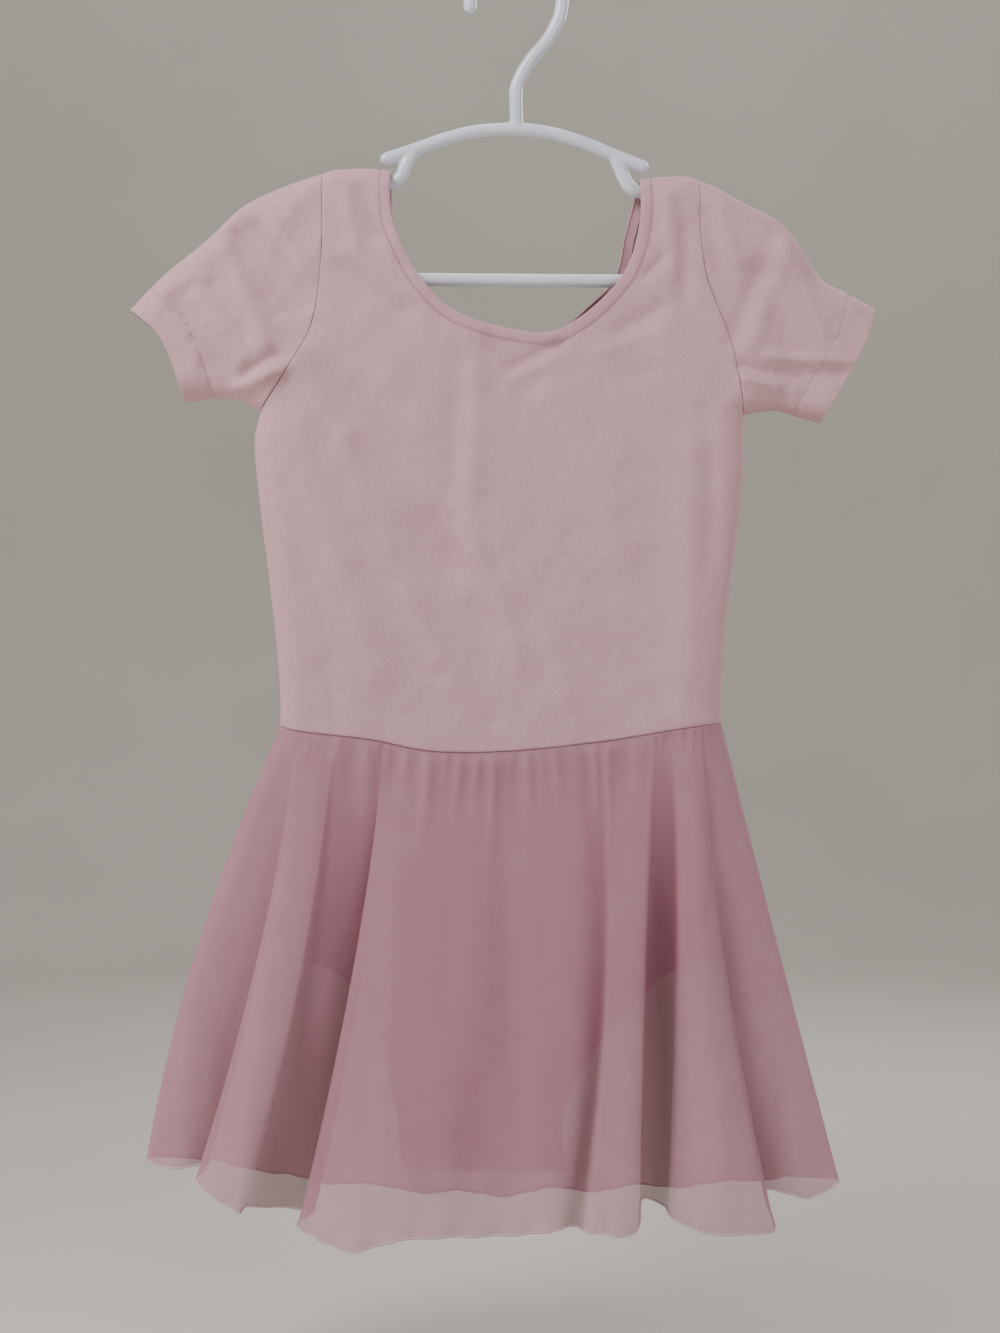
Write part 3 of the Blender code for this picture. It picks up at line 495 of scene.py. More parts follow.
def patch(bottom, top, left, right, reach=1.0):
    """A grid of (x, z) points that fills the space between four sampled lines.

    The side lines' own shape fades out over a share of the width, which is the reach.
    """
    u = ((shares_along(bottom) + shares_along(top)) / 2)[None, :, None]
    v = ((shares_along(left) + shares_along(right)) / 2)[:, None, None]
    straight = bottom[None] * (1 - v) + top[None] * v
    left_end = bottom[0] * (1 - v) + top[0] * v
    right_end = bottom[-1] * (1 - v) + top[-1] * v
    left_pull = np.maximum(0.0, 1 - u / reach) * (left[:, None] - left_end)
    right_pull = np.maximum(0.0, 1 - (1 - u) / reach) * (right[:, None] - right_end)
    return straight + left_pull + right_pull


def on_side(points, depth, side):
    """Flat points moved to the front or the back by their depth."""
    return np.stack([points[..., 0], side * depth, points[..., 1]], axis=-1)


def armhole_parts(armhole):
    """Samples of an armhole seam below and beside the strap, from the underarm up."""
    line = smooth_line(armhole)
    length = length_of(line)
    foot = TURN + (length - 2 * TURN) * FOOT_SHARE
    low = spaced(foot, LOW_COLUMNS, turn_start=True) * foot
    high = foot + spaced(length - foot, HIGH_ROWS, turn_end=True) * (length - foot)
    return resample(line, low / length), resample(line, high / length)


def neck_parts(neck, out, low_columns=NECK_COLUMNS):
    """Left strap, low part and right strap of a line round the neck, at a distance from its edge."""
    left, right = smooth_line(SHOULDER_LEFT), smooth_line(SHOULDER_RIGHT)
    line = offset_line(smooth_line(neck), -out)
    line[0] = resample(left, [1 - out / length_of(left)])[0]
    line[-1] = resample(right, [1 - out / length_of(right)])[0]
    strap = spaced(STRAP, HIGH_ROWS, turn_start=True) * STRAP / length_of(line)
    low = np.linspace(strap[-1], 1 - strap[-1], low_columns + 1)
    return resample(line, strap), resample(line, low), resample(line, 1 - strap[::-1])


def between(start, end, shares):
    """Points of a straight line at given shares."""
    return np.asarray(start) + (np.asarray(end) - np.asarray(start)) * np.asarray(shares)[:, None]


def waist_feet(side_x, last_x):
    """Where the columns that end on an armhole start on the waist seam."""
    way = math.copysign(1.0, last_x - side_x)
    even = np.linspace(side_x + way * TURN, last_x, LOW_COLUMNS + 1)
    return np.concatenate([side_x + way * turn_spacing(TURN), even])


def bodice_blocks(neck):
    """Flat points of one bodice panel: its body, left strap and right strap."""
    arm_left, beside_left = armhole_parts(ARMHOLE_LEFT)
    arm_right, beside_right = armhole_parts(ARMHOLE_RIGHT)
    neck_left, neck_low, neck_right = neck_parts(neck, NECK_OUT)
    across = seamed(np.linalg.norm(neck_left[-1] - beside_left[0]), STRAP_COLUMNS, True, False)
    base_left = between(beside_left[0], neck_left[-1], across)
    base_right = between(beside_right[0], neck_right[0], across)[::-1]
    top = np.vstack([arm_left[:-1], base_left[:-1], neck_low[:-1], base_right[:-1],
                     arm_right[::-1]])

    strap_left = LEFT_FEET[0] + (LEFT_FEET[1] - LEFT_FEET[0]) * across
    strap_right = RIGHT_FEET[1] + (RIGHT_FEET[0] - RIGHT_FEET[1]) * (1 - across[::-1])
    under_neck = np.linspace(LEFT_FEET[1], RIGHT_FEET[1], NECK_COLUMNS + 1)
    feet = np.concatenate([waist_feet(WAIST[0][0], LEFT_FEET[0])[:-1], strap_left[:-1],
                           under_neck[:-1], strap_right[:-1],
                           waist_feet(WAIST[-1][0], RIGHT_FEET[0])[::-1]])
    bottom = np.stack([feet, np.interp(feet, WAIST_LINE[:, 0], WAIST_LINE[:, 1])], axis=1)
    left, right = smooth_line(SIDE_LEFT), smooth_line(SIDE_RIGHT)
    heights = seamed(length_of(left), BODY_ROWS)
    body = patch(bottom, top, resample(left, heights), resample(right, heights), reach=0.3)

    over_left, over_right = smooth_line(SHOULDER_LEFT), smooth_line(SHOULDER_RIGHT)
    shoulder_left = resample(over_left, across * (1 - NECK_OUT / length_of(over_left)))
    shoulder_right = resample(over_right, across * (1 - NECK_OUT / length_of(over_right)))
    left_strap = patch(base_left, shoulder_left, beside_left, neck_left[::-1])
    right_strap = patch(base_right, shoulder_right[::-1], neck_right, beside_right)
    return [body, left_strap, right_strap]


def grid_normals(grid, closed):
    """Unit normals of a grid of points; rows run up, columns run across."""
    if closed:
        across = np.roll(grid, -1, axis=1) - np.roll(grid, 1, axis=1)
    else:
        across = np.gradient(grid, axis=1)
    up = np.gradient(grid, axis=0)
    normal = np.cross(across, up)
    size = np.linalg.norm(normal, axis=-1)[..., None]
    return normal / np.maximum(size, 1e-9)


def mesh_from(name, points, faces):
    """A mesh from points in millimetres, shaded smooth."""
    mesh = bpy.data.meshes.new(name)
    mesh.from_pydata((np.asarray(points) * MM).tolist(), [], faces)
    mesh.validate()
    mesh.shade_smooth()
    return mesh


def grid_faces(rows, columns, first=0, closed=False, flip=False):
    """Corner numbers of the faces of a grid, as quads."""
    index = first + np.arange(rows * columns).reshape(rows, columns)
    after = np.roll(index, -1, axis=1)
    if not closed:
        index, after = index[:, :-1], after[:, :-1]
    corners = [index[:-1], after[:-1], after[1:], index[1:]]
    if flip:
        corners = corners[::-1]
    return np.stack(corners, axis=-1).reshape(-1, 4).tolist()


def add_piece(name, mesh, finish, nodes=()):
    """A piece of the object: its mesh with a material, riding with the one body."""
    mesh.materials.append(finish)
    piece = bpy.data.objects.new(name, mesh)
    bpy.context.scene.collection.objects.link(piece)
    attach(piece, "root")
    if nodes:
        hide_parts(*nodes)
    return piece


def add_cloth(name, blocks, finish, wall, closed=False, flip=False, nodes=(), painted_fold_shade=None):
    """A cloth piece: an open surface through blocks of points, given its wall inwards, with an
    optional painted shade mask for the recesses between folds.
    """
    points, faces = [], []
    for block in blocks:
        rows, columns = block.shape[:2]
        faces += grid_faces(rows, columns, len(points), closed, flip)
        points += block.reshape(-1, 3).tolist()
    mesh = mesh_from(name, points, faces)
    # The painted shade between folds is stored on the points, for the material to darken the colour
    # by.
    if painted_fold_shade is not None:
        layer = mesh.attributes.new("painted_fold_shade", "FLOAT", "POINT")
        layer.data.foreach_set("value", painted_fold_shade.ravel())
    shape = bmesh.new()
    shape.from_mesh(mesh)
    bmesh.ops.remove_doubles(shape, verts=shape.verts, dist=0.01 * MM)
    shape.to_mesh(mesh)
    shape.free()
    mesh.shade_smooth()
    piece = add_piece(name, mesh, finish, nodes)
    shell = piece.modifiers.new("Wall", "SOLIDIFY")
    shell.thickness = wall * MM
    shell.offset = -1.0
    return piece


def add_bodice_panel(name, neck, side, creases, finish, node):
    """Front or back of the bodice."""
    seams = [(WAIST_LINE, WAIST_SEAM_DEPTH)]
    blocks = [on_side(flat, cloth_depth(flat, creases, seed=side, seams=seams), side)
              for flat in bodice_blocks(neck)]
    return add_cloth(name, blocks, finish, JERSEY, flip=side == BACK, nodes=[node])


def hem_relief(points):
    """The sleeve's turned hem: a row of stitches pulls it in, and it puckers beside them."""
    away = distance_to_lines(points, CUFFS)
    pucker = unevenness(points, size=5.0, seed=8.0) * np.exp(-((away - HEM_STITCH) / 6.0) ** 2)
    return (0.25 * (away < HEM_STITCH) - 0.45 * np.exp(-((away - HEM_STITCH) / 0.9) ** 2)
            + 0.3 * pucker)


def sleeve_depth(flat, side):
    """Depth of a sleeve's worn side at flat points."""
    creases = (CREASES_FRONT if side == FRONT else CREASES_BACK) + CREASES_SLEEVES
    depth = cloth_depth(flat, creases, seed=side)
    left = drape(flat, lean=34.0, across=24.0, along=90.0, seed=41.0 + side)
    right = drape(flat, lean=-34.0, across=24.0, along=90.0, seed=47.0 + side)
    folds = np.where(flat[..., 0] < 0, left, right)
    fade = np.minimum(1.0, depth / 8.0)
    return depth + (hem_relief(flat) + SLEEVE_DRAPE_RISE * folds) * fade


def sleeve_flat(armhole, cuff, over, under, outward):
    """Flat points of a sleeve, from the armhole seam to the cuff."""
    line = smooth_line(armhole)
    arm = resample(line, spaced(length_of(line), SLEEVE_AROUND, True, True))
    arm = offset_line(arm, outward * 0.12)
    hem_line = smooth_line(cuff)
    hem = resample(hem_line, spaced(length_of(hem_line), SLEEVE_AROUND, True, True, CUFF_TURN))
    under, over = smooth_line(under), smooth_line(over)
    low = resample(under, seamed(length_of(under), SLEEVE_ALONG))
    high = resample(over, seamed(length_of(over), SLEEVE_ALONG))
    low[0], high[0] = arm[0], arm[-1]
    return patch(arm, hem, low, high)


def add_sleeve(name, flat, flip, finish, node):
    """A sleeve, as one tube of front and back."""
    front = on_side(flat, sleeve_depth(flat, FRONT), FRONT)
    back = on_side(flat, sleeve_depth(flat, BACK), BACK)
    front[:, (0, -1), 1] = 0.0
    ring = np.concatenate([front, back[:, -2:0:-1]], axis=1)
    return add_cloth(name, [ring], finish, HEM_WALL, closed=True, flip=flip,
                     nodes=[node])


def binding_grid():
    """Points of the binding: rings round the neck, from its free edge outwards."""
    rings = []
    outs, rises = np.array(BINDING_PROFILE).T
    for out in outs:
        lines = []
        for neck, side, creases in ((NECK_FRONT, FRONT, CREASES_FRONT + CREASES_SLEEVES),
                                    (NECK_BACK, BACK, CREASES_BACK + CREASES_SLEEVES)):
            left, low, right = neck_parts(neck, out, BINDING_COLUMNS)
            flat = np.vstack([left[:-1], low, right[1:]])
            depth = cloth_depth(flat, creases, seed=side)
            depth[0] = depth[-1] = 0.0
            lines.append(on_side(flat, depth, side))
        rings.append(np.vstack([lines[0], lines[1][-2:0:-1]]))
    grid = np.array(rings)
    return grid - grid_normals(grid, True) * rises[:, None, None]


def skirt_surface(folds, side, gathers):
    """Front or back of the skirt, from the waist seam down to the hem."""
    rows = np.array(folds)
    shaped = np.stack([rows[:, 1], rows[:, 2], np.abs(rows[:, 3]), rows[:, 4]], axis=1)
    turned = np.array([1.0, 1.0, -1.0, 1.0])
    padded = np.vstack([shaped[1] * turned, shaped, shaped[-2] * turned])
    counts = rows[:-1, 5].astype(int)
    middle_x, hem_x, hem_y, hem_z = spline_through(padded, counts).T
    knots = np.concatenate([[0], np.cumsum(counts)])
    top_x = np.interp(np.arange(knots[-1] + 1), knots, rows[:, 0])
    top_z = np.interp(top_x, WAIST_LINE[:, 0], WAIST_LINE[:, 1]) - 0.1

    spread = np.linspace(0.0, 1.0, SKIRT_STEPS + 1)[:, None]
    v = spread - 0.75 * np.sin(2 * np.pi * spread) / (2 * np.pi)
    creases = CREASES_FRONT if side == FRONT else CREASES_BACK
    top_y = cloth_depth(np.stack([top_x, top_z], axis=1), creases, seed=side)
    top_y[0] = top_y[-1] = 0.0
    x = (1 - v) * (1 - 2 * v) * top_x + 4 * v * (1 - v) * middle_x + v * (2 * v - 1) * hem_x
    z = top_z + (hem_z - top_z) * v
    y = with_gap(top_y + (np.maximum(hem_y, 0.0) - top_y) * v)

    inside = np.minimum(1.0, np.minimum(top_x - top_x[0], top_x[-1] - top_x) / 5.0)
    for place, height, width, reach in gathers:
        drop = reach * GATHER_DROP
        bump = np.exp(-((top_x - place) / width) ** 2)
        y += inside * GATHER_RISE * height * bump * (v / drop) * np.exp(1 - v / drop)
    below = -(z - top_z)
    pucker = unevenness(np.stack([top_x + 0 * v, below * 0.2], axis=-1), size=3.4, seed=3.0 + side)
    y += inside * PUCKER_RISE * pucker * (1 - np.exp(-below / 1.5)) * np.exp(-below / PUCKER_DROP)
    y -= inside * roll_in(below, 0.5, 1.5)
    slack = unevenness(np.stack([x, z * 0.16], axis=-1), size=17.0, seed=12.0 + side)
    y += inside * SLACK_RISE * slack * v
    along = lengths_along(np.stack([hem_x, hem_y], axis=1))
    drift = 2.2 * unevenness(np.stack([along, 0 * along], axis=1), size=34.0, seed=5.0 * side)
    wave = np.sin(2 * np.pi * along / HEM_WAVE + drift)
    y += inside * HEM_WAVE_RISE * wave * np.exp(-((z - hem_z) / HEM_WAVE_DROP))
    return np.stack([x, side * np.maximum(y, 0.0), z], axis=-1)


def sliding_mean(values, reach):
    """The mean of each row's values over some columns to both sides."""
    wide = np.pad(values, ((0, 0), (reach, reach)), mode="edge")
    return np.lib.stride_tricks.sliding_window_view(wide, 2 * reach + 1, axis=1).mean(axis=-1)


def painted_shade_between_folds(surface):
    """How deep each point of a skirt panel lies between the folds beside it, from 0 to 1, as the mask
    of painted shade that darkens the chiffon's colour there.
    """
    depth = np.abs(surface[..., 1])
    # deepest: how far below the folds beside it a point lies where its painted shade is full
    reach, deepest, edge_columns = 12, 4.5, 22
    around = sliding_mean(sliding_mean(depth, reach), reach)
    share = np.clip((around - depth) / deepest, 0.0, 1.0)
    column = np.arange(depth.shape[1])
    share = share * np.clip(np.minimum(column, column[::-1]) / edge_columns, 0.0, 1.0)
    return sliding_mean(share, 2)


def brief_surface(side):
    """Front or back of the brief, from its crotch up to the waist seam."""
    left_x, right_x = BRIEF_SIDE_LEFT[-1][0], BRIEF_SIDE_RIGHT[-1][0]
    across = spaced(right_x - left_x, BRIEF_ACROSS, True, True, BRIEF_TURN)
    top_x = left_x + (right_x - left_x) * across
    top = np.stack([top_x, np.interp(top_x, WAIST_LINE[:, 0], WAIST_LINE[:, 1]) - BRIEF_DROP],
                   axis=1)
    edges = []
    for leg, seam, corner in ((LEG_LEFT, BRIEF_SIDE_LEFT, top[0]),
                              (LEG_RIGHT, BRIEF_SIDE_RIGHT, top[-1])):
        leg, seam = smooth_line(leg), smooth_line(seam)
        around = resample(leg, spaced(length_of(leg), LEG_STEPS, True, turn=BRIEF_TURN))
        up = resample(seam, np.linspace(0.0, 1.0, BRIEF_SIDE_STEPS + 1)[1:])
        up[-1] = corner
        edges.append(np.vstack([around, up]))
    crotch = resample(np.array(CROTCH),
                      spaced(math.dist(*CROTCH), BRIEF_ACROSS, True, True, BRIEF_TURN))
    flat = patch(crotch, top, *edges)
    turns = [smooth_line(BRIEF_SIDE_LEFT), smooth_line(BRIEF_SIDE_RIGHT), np.array(CROTCH)]
    full = rounded(distance_to_lines(flat, turns), BRIEF_TURN)
    lower = np.clip((BRIEF_LOW_FROM - flat[..., 1]) / BRIEF_LOW_OVER, 0.0, 1.0)
    deep = BRIEF_DEPTH_TOP + (BRIEF_DEPTH_LOW - BRIEF_DEPTH_TOP) * lower
    legs = distance_to_lines(flat, [smooth_line(LEG_LEFT), smooth_line(LEG_RIGHT)])
    band = -0.4 * np.exp(-((legs - LEG_STITCH) / 0.9) ** 2) + 0.25 * (legs < LEG_STITCH)
    pucker = 0.5 * unevenness(flat, size=5.0, seed=20.0 + side) * np.exp(-legs / 9.0)
    slack = 0.6 * unevenness(flat * (1.0, 0.4), size=24.0, seed=24.0 + side)
    depth = with_gap(full * (deep + full * (band + pucker + slack)))
    return on_side(flat, depth, side)


def tube_points(path, radius, sides):
    """Rings of points round a path, with radius as one value or one for each point."""
    path = np.asarray(path, float)
    way = np.gradient(path, axis=0)
    way /= np.linalg.norm(way, axis=1)[:, None]
    across = np.empty_like(path)
    first = np.cross(way[0], (0.0, 1.0, 0.0))
    if np.linalg.norm(first) < 0.2:
        first = np.cross(way[0], (0.0, 0.0, 1.0))
    across[0] = first / np.linalg.norm(first)
    for k in range(1, len(path)):
        level = across[k - 1] - way[k] * (across[k - 1] @ way[k])
        across[k] = level / np.linalg.norm(level)
    other = np.cross(way, across)
    angle = 2 * np.pi * np.arange(sides) / sides
    radius = np.broadcast_to(np.asarray(radius, float), (len(path),))
    ring = (np.cos(angle)[None, :, None] * across[:, None]
            + np.sin(angle)[None, :, None] * other[:, None])
    return path[:, None] + radius[:, None, None] * ring


def tubes_mesh(name, paths, sides):
    """One mesh of several capped tubes; each path is (points, radius)."""
    points, faces = [], []
    for path, radius in paths:
        rings = tube_points(path, radius, sides)
        count = len(rings)
        first = len(points)
        faces += grid_faces(count, sides, first, closed=True, flip=True)
        faces.append([first + k for k in range(sides)])
        faces.append([first + (count - 1) * sides + k for k in range(sides)][::-1])
        points += rings.reshape(-1, 3).tolist()
    mesh = mesh_from(name, points, faces)
    shape = bmesh.new()
    shape.from_mesh(mesh)
    bmesh.ops.recalc_face_normals(shape, faces=shape.faces)
    shape.to_mesh(mesh)
    shape.free()
    mesh.shade_smooth()
    return mesh


def stitch_paths(starts, ends, lifts, radius):
    """Short threads from start to end, bowed outwards and thin where they enter the cloth."""
    shares = np.array([0.0, 0.12, 0.35, 0.65, 0.88, 1.0])
    bow = np.array([-0.25, 0.05, 0.16, 0.16, 0.05, -0.25])
    width = radius * np.array([0.4, 0.9, 1.0, 1.0, 0.9, 0.4])
    return [(start + (end - start) * shares[:, None] + lift * bow[:, None], width)
            for start, end, lift in zip(starts, ends, lifts)]


def in_plane(line):
    """(x, z) points as points of the middle plane."""
    line = np.asarray(line, float)
    return np.stack([line[:, 0], np.zeros(len(line)), line[:, 1]], axis=1)


def round_ended(line, round_start, round_end):
    """A path and its radii, with round ends where asked."""
    path = in_plane(line)
    radius = np.full(len(path), TUBE_RADIUS)
    angles = np.radians([20.0, 40.0, 58.0, 74.0, 86.0])
    if round_end:
        way = path[-1] - path[-2]
        way /= np.linalg.norm(way)
        path = np.vstack([path, path[-1] + TUBE_RADIUS * np.sin(angles)[:, None] * way])
        radius = np.concatenate([radius, TUBE_RADIUS * np.cos(angles)])
    if round_start:
        way = path[0] - path[1]
        way /= np.linalg.norm(way)
        path = np.vstack([path[0] + TUBE_RADIUS * np.sin(angles[::-1])[:, None] * way, path])
        radius = np.concatenate([TUBE_RADIUS * np.cos(angles[::-1]), radius])
    return path, radius


def arm_line(shoulder, sleeve_top, reach, side):
    """Middle of the tube where the cloth rests on it, from the neck outwards."""
    over = np.vstack([smooth_line(shoulder, 12)[::-1], smooth_line(sleeve_top, 12)[1:]])
    under = offset_line(over, -side * ARM_BELOW)
    kept = under[(side * under[:, 0] >= reach[0]) & (side * under[:, 0] <= reach[1])]
    return resample(kept, np.linspace(0.0, 1.0, 5)).tolist()


def hook_line():
    """Stem and hook, from inside the arch up and over to the hook's free end."""
    centre_z = TUBE_RADIUS - HOOK_RADIUS
    angles = np.radians(np.linspace(-12.0, HOOK_END_TURN, 60))
    arc = np.stack([HOOK_RADIUS * np.cos(angles), centre_z + HOOK_RADIUS * np.sin(angles)], axis=1)
    return np.vstack([smooth_line(HOOK_STEM, 10), arc])


def add_hanger(finish):
    """The hanger as one moulded body: tubes joined, with small fillets where they meet."""
    left = CURL_LEFT + arm_line(SHOULDER_LEFT, SLEEVE_TOP_LEFT, ARM_LEFT, -1) + LOOP_LEFT
    right = CURL_RIGHT + arm_line(SHOULDER_RIGHT, SLEEVE_TOP_RIGHT, ARM_RIGHT, 1) + LOOP_RIGHT
    bar = np.vstack([smooth_line(left, 10), smooth_line(right, 10)[::-1]])
    paths = [round_ended(bar, False, False), round_ended(smooth_line(ARCH, 10), True, True),
             round_ended(hook_line(), False, True)]
    mesh = tubes_mesh("hanger_body", paths, 24)
    hanger = add_piece("hanger_body", mesh, finish, ["hanger"])
    joined = hanger.modifiers.new("Joined", "REMESH")
    joined.mode = "VOXEL"
    joined.voxel_size = 0.8 * MM
    joined.use_smooth_shade = True
    fillets = hanger.modifiers.new("Fillets", "SMOOTH")
    fillets.factor = 0.5
    fillets.iterations = 6
    return hanger


def linear(red, green, blue):
    """A colour of 0 to 255 as a linear one."""
    values = []
    for value in (red, green, blue):
        share = value / 255
        values.append(share / 12.92 if share <= 0.04045 else ((share + 0.055) / 1.055) ** 2.4)
    return (*values, 1.0)


def new_material(name):
    """A material with its nodes, links and shader, and its place on the object."""
    made = bpy.data.materials.new(name)
    made.use_nodes = True
    nodes, links = made.node_tree.nodes, made.node_tree.links
    where = nodes.new("ShaderNodeTexCoord").outputs["Object"]
    return made, nodes, links, nodes["Principled BSDF"], where


def set_values(node, values):
    """Fixed values for a node's inputs, by name."""
    for name, value in values.items():
        node.inputs[name].default_value = value


def speckled(nodes, links, where, scale, detail, roughness=0.5):
    """Soft noise in the object's own space."""
    cloud = nodes.new("ShaderNodeTexNoise")
    set_values(cloud, {"Scale": scale, "Detail": detail, "Roughness": roughness})
    links.new(where, cloud.inputs["Vector"])
    return cloud.outputs["Fac"]


def mottled(nodes, links, where, scale, detail, dark, light):
    """Colour that drifts softly between two values."""
    ramp = nodes.new("ShaderNodeValToRGB")
    ramp.color_ramp.elements[0].position = 0.32
    ramp.color_ramp.elements[1].position = 0.68
    ramp.color_ramp.elements[0].color = dark
    ramp.color_ramp.elements[1].color = light
    links.new(speckled(nodes, links, where, scale, detail, 0.6), ramp.inputs["Fac"])
    return ramp.outputs["Color"]


def threads(nodes, links, where, pitch, direction, wobble):
    """Fine parallel threads or stitch columns, so many metres apart."""
    wave = nodes.new("ShaderNodeTexWave")
    wave.bands_direction = direction
    set_values(wave, {"Scale": math.pi / 10 / pitch, "Distortion": wobble, "Detail": 1.0,
                      "Detail Scale": 1.5})
    links.new(where, wave.inputs["Vector"])
    return wave.outputs["Fac"]


def blended(nodes, links, kind, first, second):
    """Two values put together by a math node."""
    both = nodes.new("ShaderNodeMath")
    both.operation = kind
    links.new(first, both.inputs[0])
    links.new(second, both.inputs[1])
    return both.outputs[0]


def bumped(nodes, links, shader, height, distance, strength):
    """Adds a bump to a shader."""
    bump = nodes.new("ShaderNodeBump")
    set_values(bump, {"Distance": distance, "Strength": strength})
    links.new(height, bump.inputs["Height"])
    links.new(bump.outputs["Normal"], shader.inputs["Normal"])


def jersey_material(name, dark, light):
    """Fine matte cotton jersey: stitch columns, rows and a little fuzz."""
    made, nodes, links, shader, where = new_material(name)
    links.new(mottled(nodes, links, where, 420.0, 5.0, dark, light), shader.inputs["Base Color"])
    columns = threads(nodes, links, where, 0.00085, "X", 1.6)
    rows = threads(nodes, links, where, 0.0006, "Z", 1.6)
    loops = blended(nodes, links, "MULTIPLY", columns, rows)
    knit = blended(nodes, links, "ADD", loops, speckled(nodes, links, where, 1500.0, 3.0))
    bumped(nodes, links, shader, knit, 0.00025, 0.55)
    set_values(shader, {"Roughness": 0.92, "Specular IOR Level": 0.15, "Sheen Weight": 0.22,
                        "Sheen Roughness": 0.45, "Sheen Tint": linear(255, 225, 226)})
    return made


def chiffon_material():
    """Sheer crepe chiffon: fine threads both ways, see-through, with painted shade darkening its
    colour between folds.
    """
    made, nodes, links, shader, where = new_material("chiffon")
    tone = mottled(nodes, links, where, 60.0, 4.0, linear(205, 148, 167), linear(209, 154, 172))
    # The painted shade mask between the folds, and the dark pink that it mixes the colour towards.
    between = nodes.new("ShaderNodeAttribute")
    between.attribute_name = "painted_fold_shade"
    painted_shade_mix = nodes.new("ShaderNodeMix")
    painted_shade_mix.data_type = "RGBA"
    painted_shade_mix.inputs["B"].default_value = linear(146, 84, 104)
    links.new(between.outputs["Fac"], painted_shade_mix.inputs["Factor"])
    links.new(tone, painted_shade_mix.inputs["A"])
    links.new(painted_shade_mix.outputs["Result"], shader.inputs["Base Color"])
    across = threads(nodes, links, where, 0.0005, "X", 2.5)
    along = threads(nodes, links, where, 0.0005, "Z", 2.5)
    bumped(nodes, links, shader, blended(nodes, links, "MAXIMUM", across, along), 0.00012, 0.5)
    set_values(shader, {"Roughness": 0.62, "Specular IOR Level": 0.25, "Sheen Weight": 0.3,
                        "Sheen Roughness": 0.35, "Alpha": 0.45})
    return made


def thread_material(name, dark, light):
    """Sewing thread."""
    made, nodes, links, shader, where = new_material(name)
    links.new(mottled(nodes, links, where, 900.0, 2.0, dark, light), shader.inputs["Base Color"])
    bumped(nodes, links, shader, threads(nodes, links, where, 0.0004, "DIAGONAL", 0.5),
           0.0001, 0.4)
    set_values(shader, {"Roughness": 0.6, "Sheen Weight": 0.2})
    return made


def plastic_material():
    """Glossy bluish-white moulded plastic with faint flow marks."""
    made, nodes, links, shader, where = new_material("hanger_plastic")
    links.new(mottled(nodes, links, where, 30.0, 3.0, linear(216, 221, 236), linear(226, 230, 242)),
              shader.inputs["Base Color"])
    bumped(nodes, links, shader, speckled(nodes, links, where, 260.0, 3.0), 0.0002, 0.12)
    set_values(shader, {"Roughness": 0.24, "Specular IOR Level": 0.5, "Subsurface Weight": 0.08,
                        "Subsurface Radius": (0.002, 0.002, 0.003), "Coat Weight": 0.25,
                        "Coat Roughness": 0.12})
    return made


def add_stitches(name, paths, finish):
    """A row of stitches as one piece."""
    return add_piece(name, tubes_mesh(name, paths, 5), finish)


def stitches_on(line, normals, pitch, length, lean, lift, radius):
    """Stitches along a line on the cloth, leaning to alternate sides."""
    total = length_of(line)
    count = int(total / pitch)
    shares = (np.arange(count) + 0.5) / count
    middle, up = resample(line, shares), resample(normals, shares)
    ahead = resample(line, np.minimum(shares + 0.2 / total, 1.0))
    behind = resample(line, np.maximum(shares - 0.2 / total, 0.0))
    way = ahead - behind
    way /= np.linalg.norm(way, axis=1)[:, None]
    up /= np.linalg.norm(up, axis=1)[:, None]
    beside = np.cross(way, up)
    turn = np.radians(lean) * np.where(np.arange(count) % 2, 1.0, -1.0)
    run = np.cos(turn)[:, None] * way + np.sin(turn)[:, None] * beside
    middle = middle + up * lift
    return stitch_paths(middle - run * length / 2, middle + run * length / 2, up, radius)


def add_area_light(name, place, target, size, power, color):
    """A soft square light that looks at a point."""
    light = bpy.data.lights.new(name, "AREA")
    light.size = size
    light.energy = power
    light.color = color
    lamp = bpy.data.objects.new(name, light)
    lamp.location = place
    lamp.visible_camera = False
    lamp.rotation_euler = (Vector(target) - Vector(place)).to_track_quat("-Z", "Y").to_euler()
    bpy.context.scene.collection.objects.link(lamp)


def add_stage():
    """A pale floor that curves up all round into a plain backdrop."""
    floor_z, top_z, radius_out, bend = -0.80, 2.4, 2.3, 0.7
    profile = [(radius_out - bend, floor_z)]
    for angle in np.radians(np.linspace(0.0, 90.0, 13))[1:]:
        profile.append((radius_out - bend + bend * math.sin(angle),
                        floor_z + bend - bend * math.cos(angle)))
    profile.append((radius_out, top_z))
    sides = 96
    turn = 2 * np.pi * np.arange(sides) / sides
    points = [(radius * math.cos(a) / MM, radius * math.sin(a) / MM, z / MM)
              for radius, z in profile for a in turn]
    faces = grid_faces(len(profile), sides, closed=True, flip=True)
    faces.append(list(range(sides)))
    mesh = mesh_from("stage", points, faces)
    paint, nodes, links, shader, where = new_material("stage_paint")
    links.new(mottled(nodes, links, where, 3.0, 2.0, linear(204, 199, 192), linear(208, 203, 196)),
              shader.inputs["Base Color"])
    shader.inputs["Roughness"].default_value = 0.9
    mesh.materials.append(paint)
    stage = bpy.data.objects.new("stage", mesh)
    bpy.context.scene.collection.objects.link(stage)


def add_camera():
    """The camera at the photograph's angle: level, straight on, the hook's top cut off."""
    view_height, distance = 0.741, 1.1
    lens = bpy.data.cameras.new("camera")
    lens.sensor_fit = "VERTICAL"
    lens.sensor_height = 24.0
    lens.lens = lens.sensor_height * distance / view_height
    camera = bpy.data.objects.new("camera", lens)
    camera.location = (-0.0089, -distance, -0.392)
    camera.rotation_euler = (math.pi / 2, 0.0, 0.0)
    bpy.context.scene.collection.objects.link(camera)
    bpy.context.scene.camera = camera


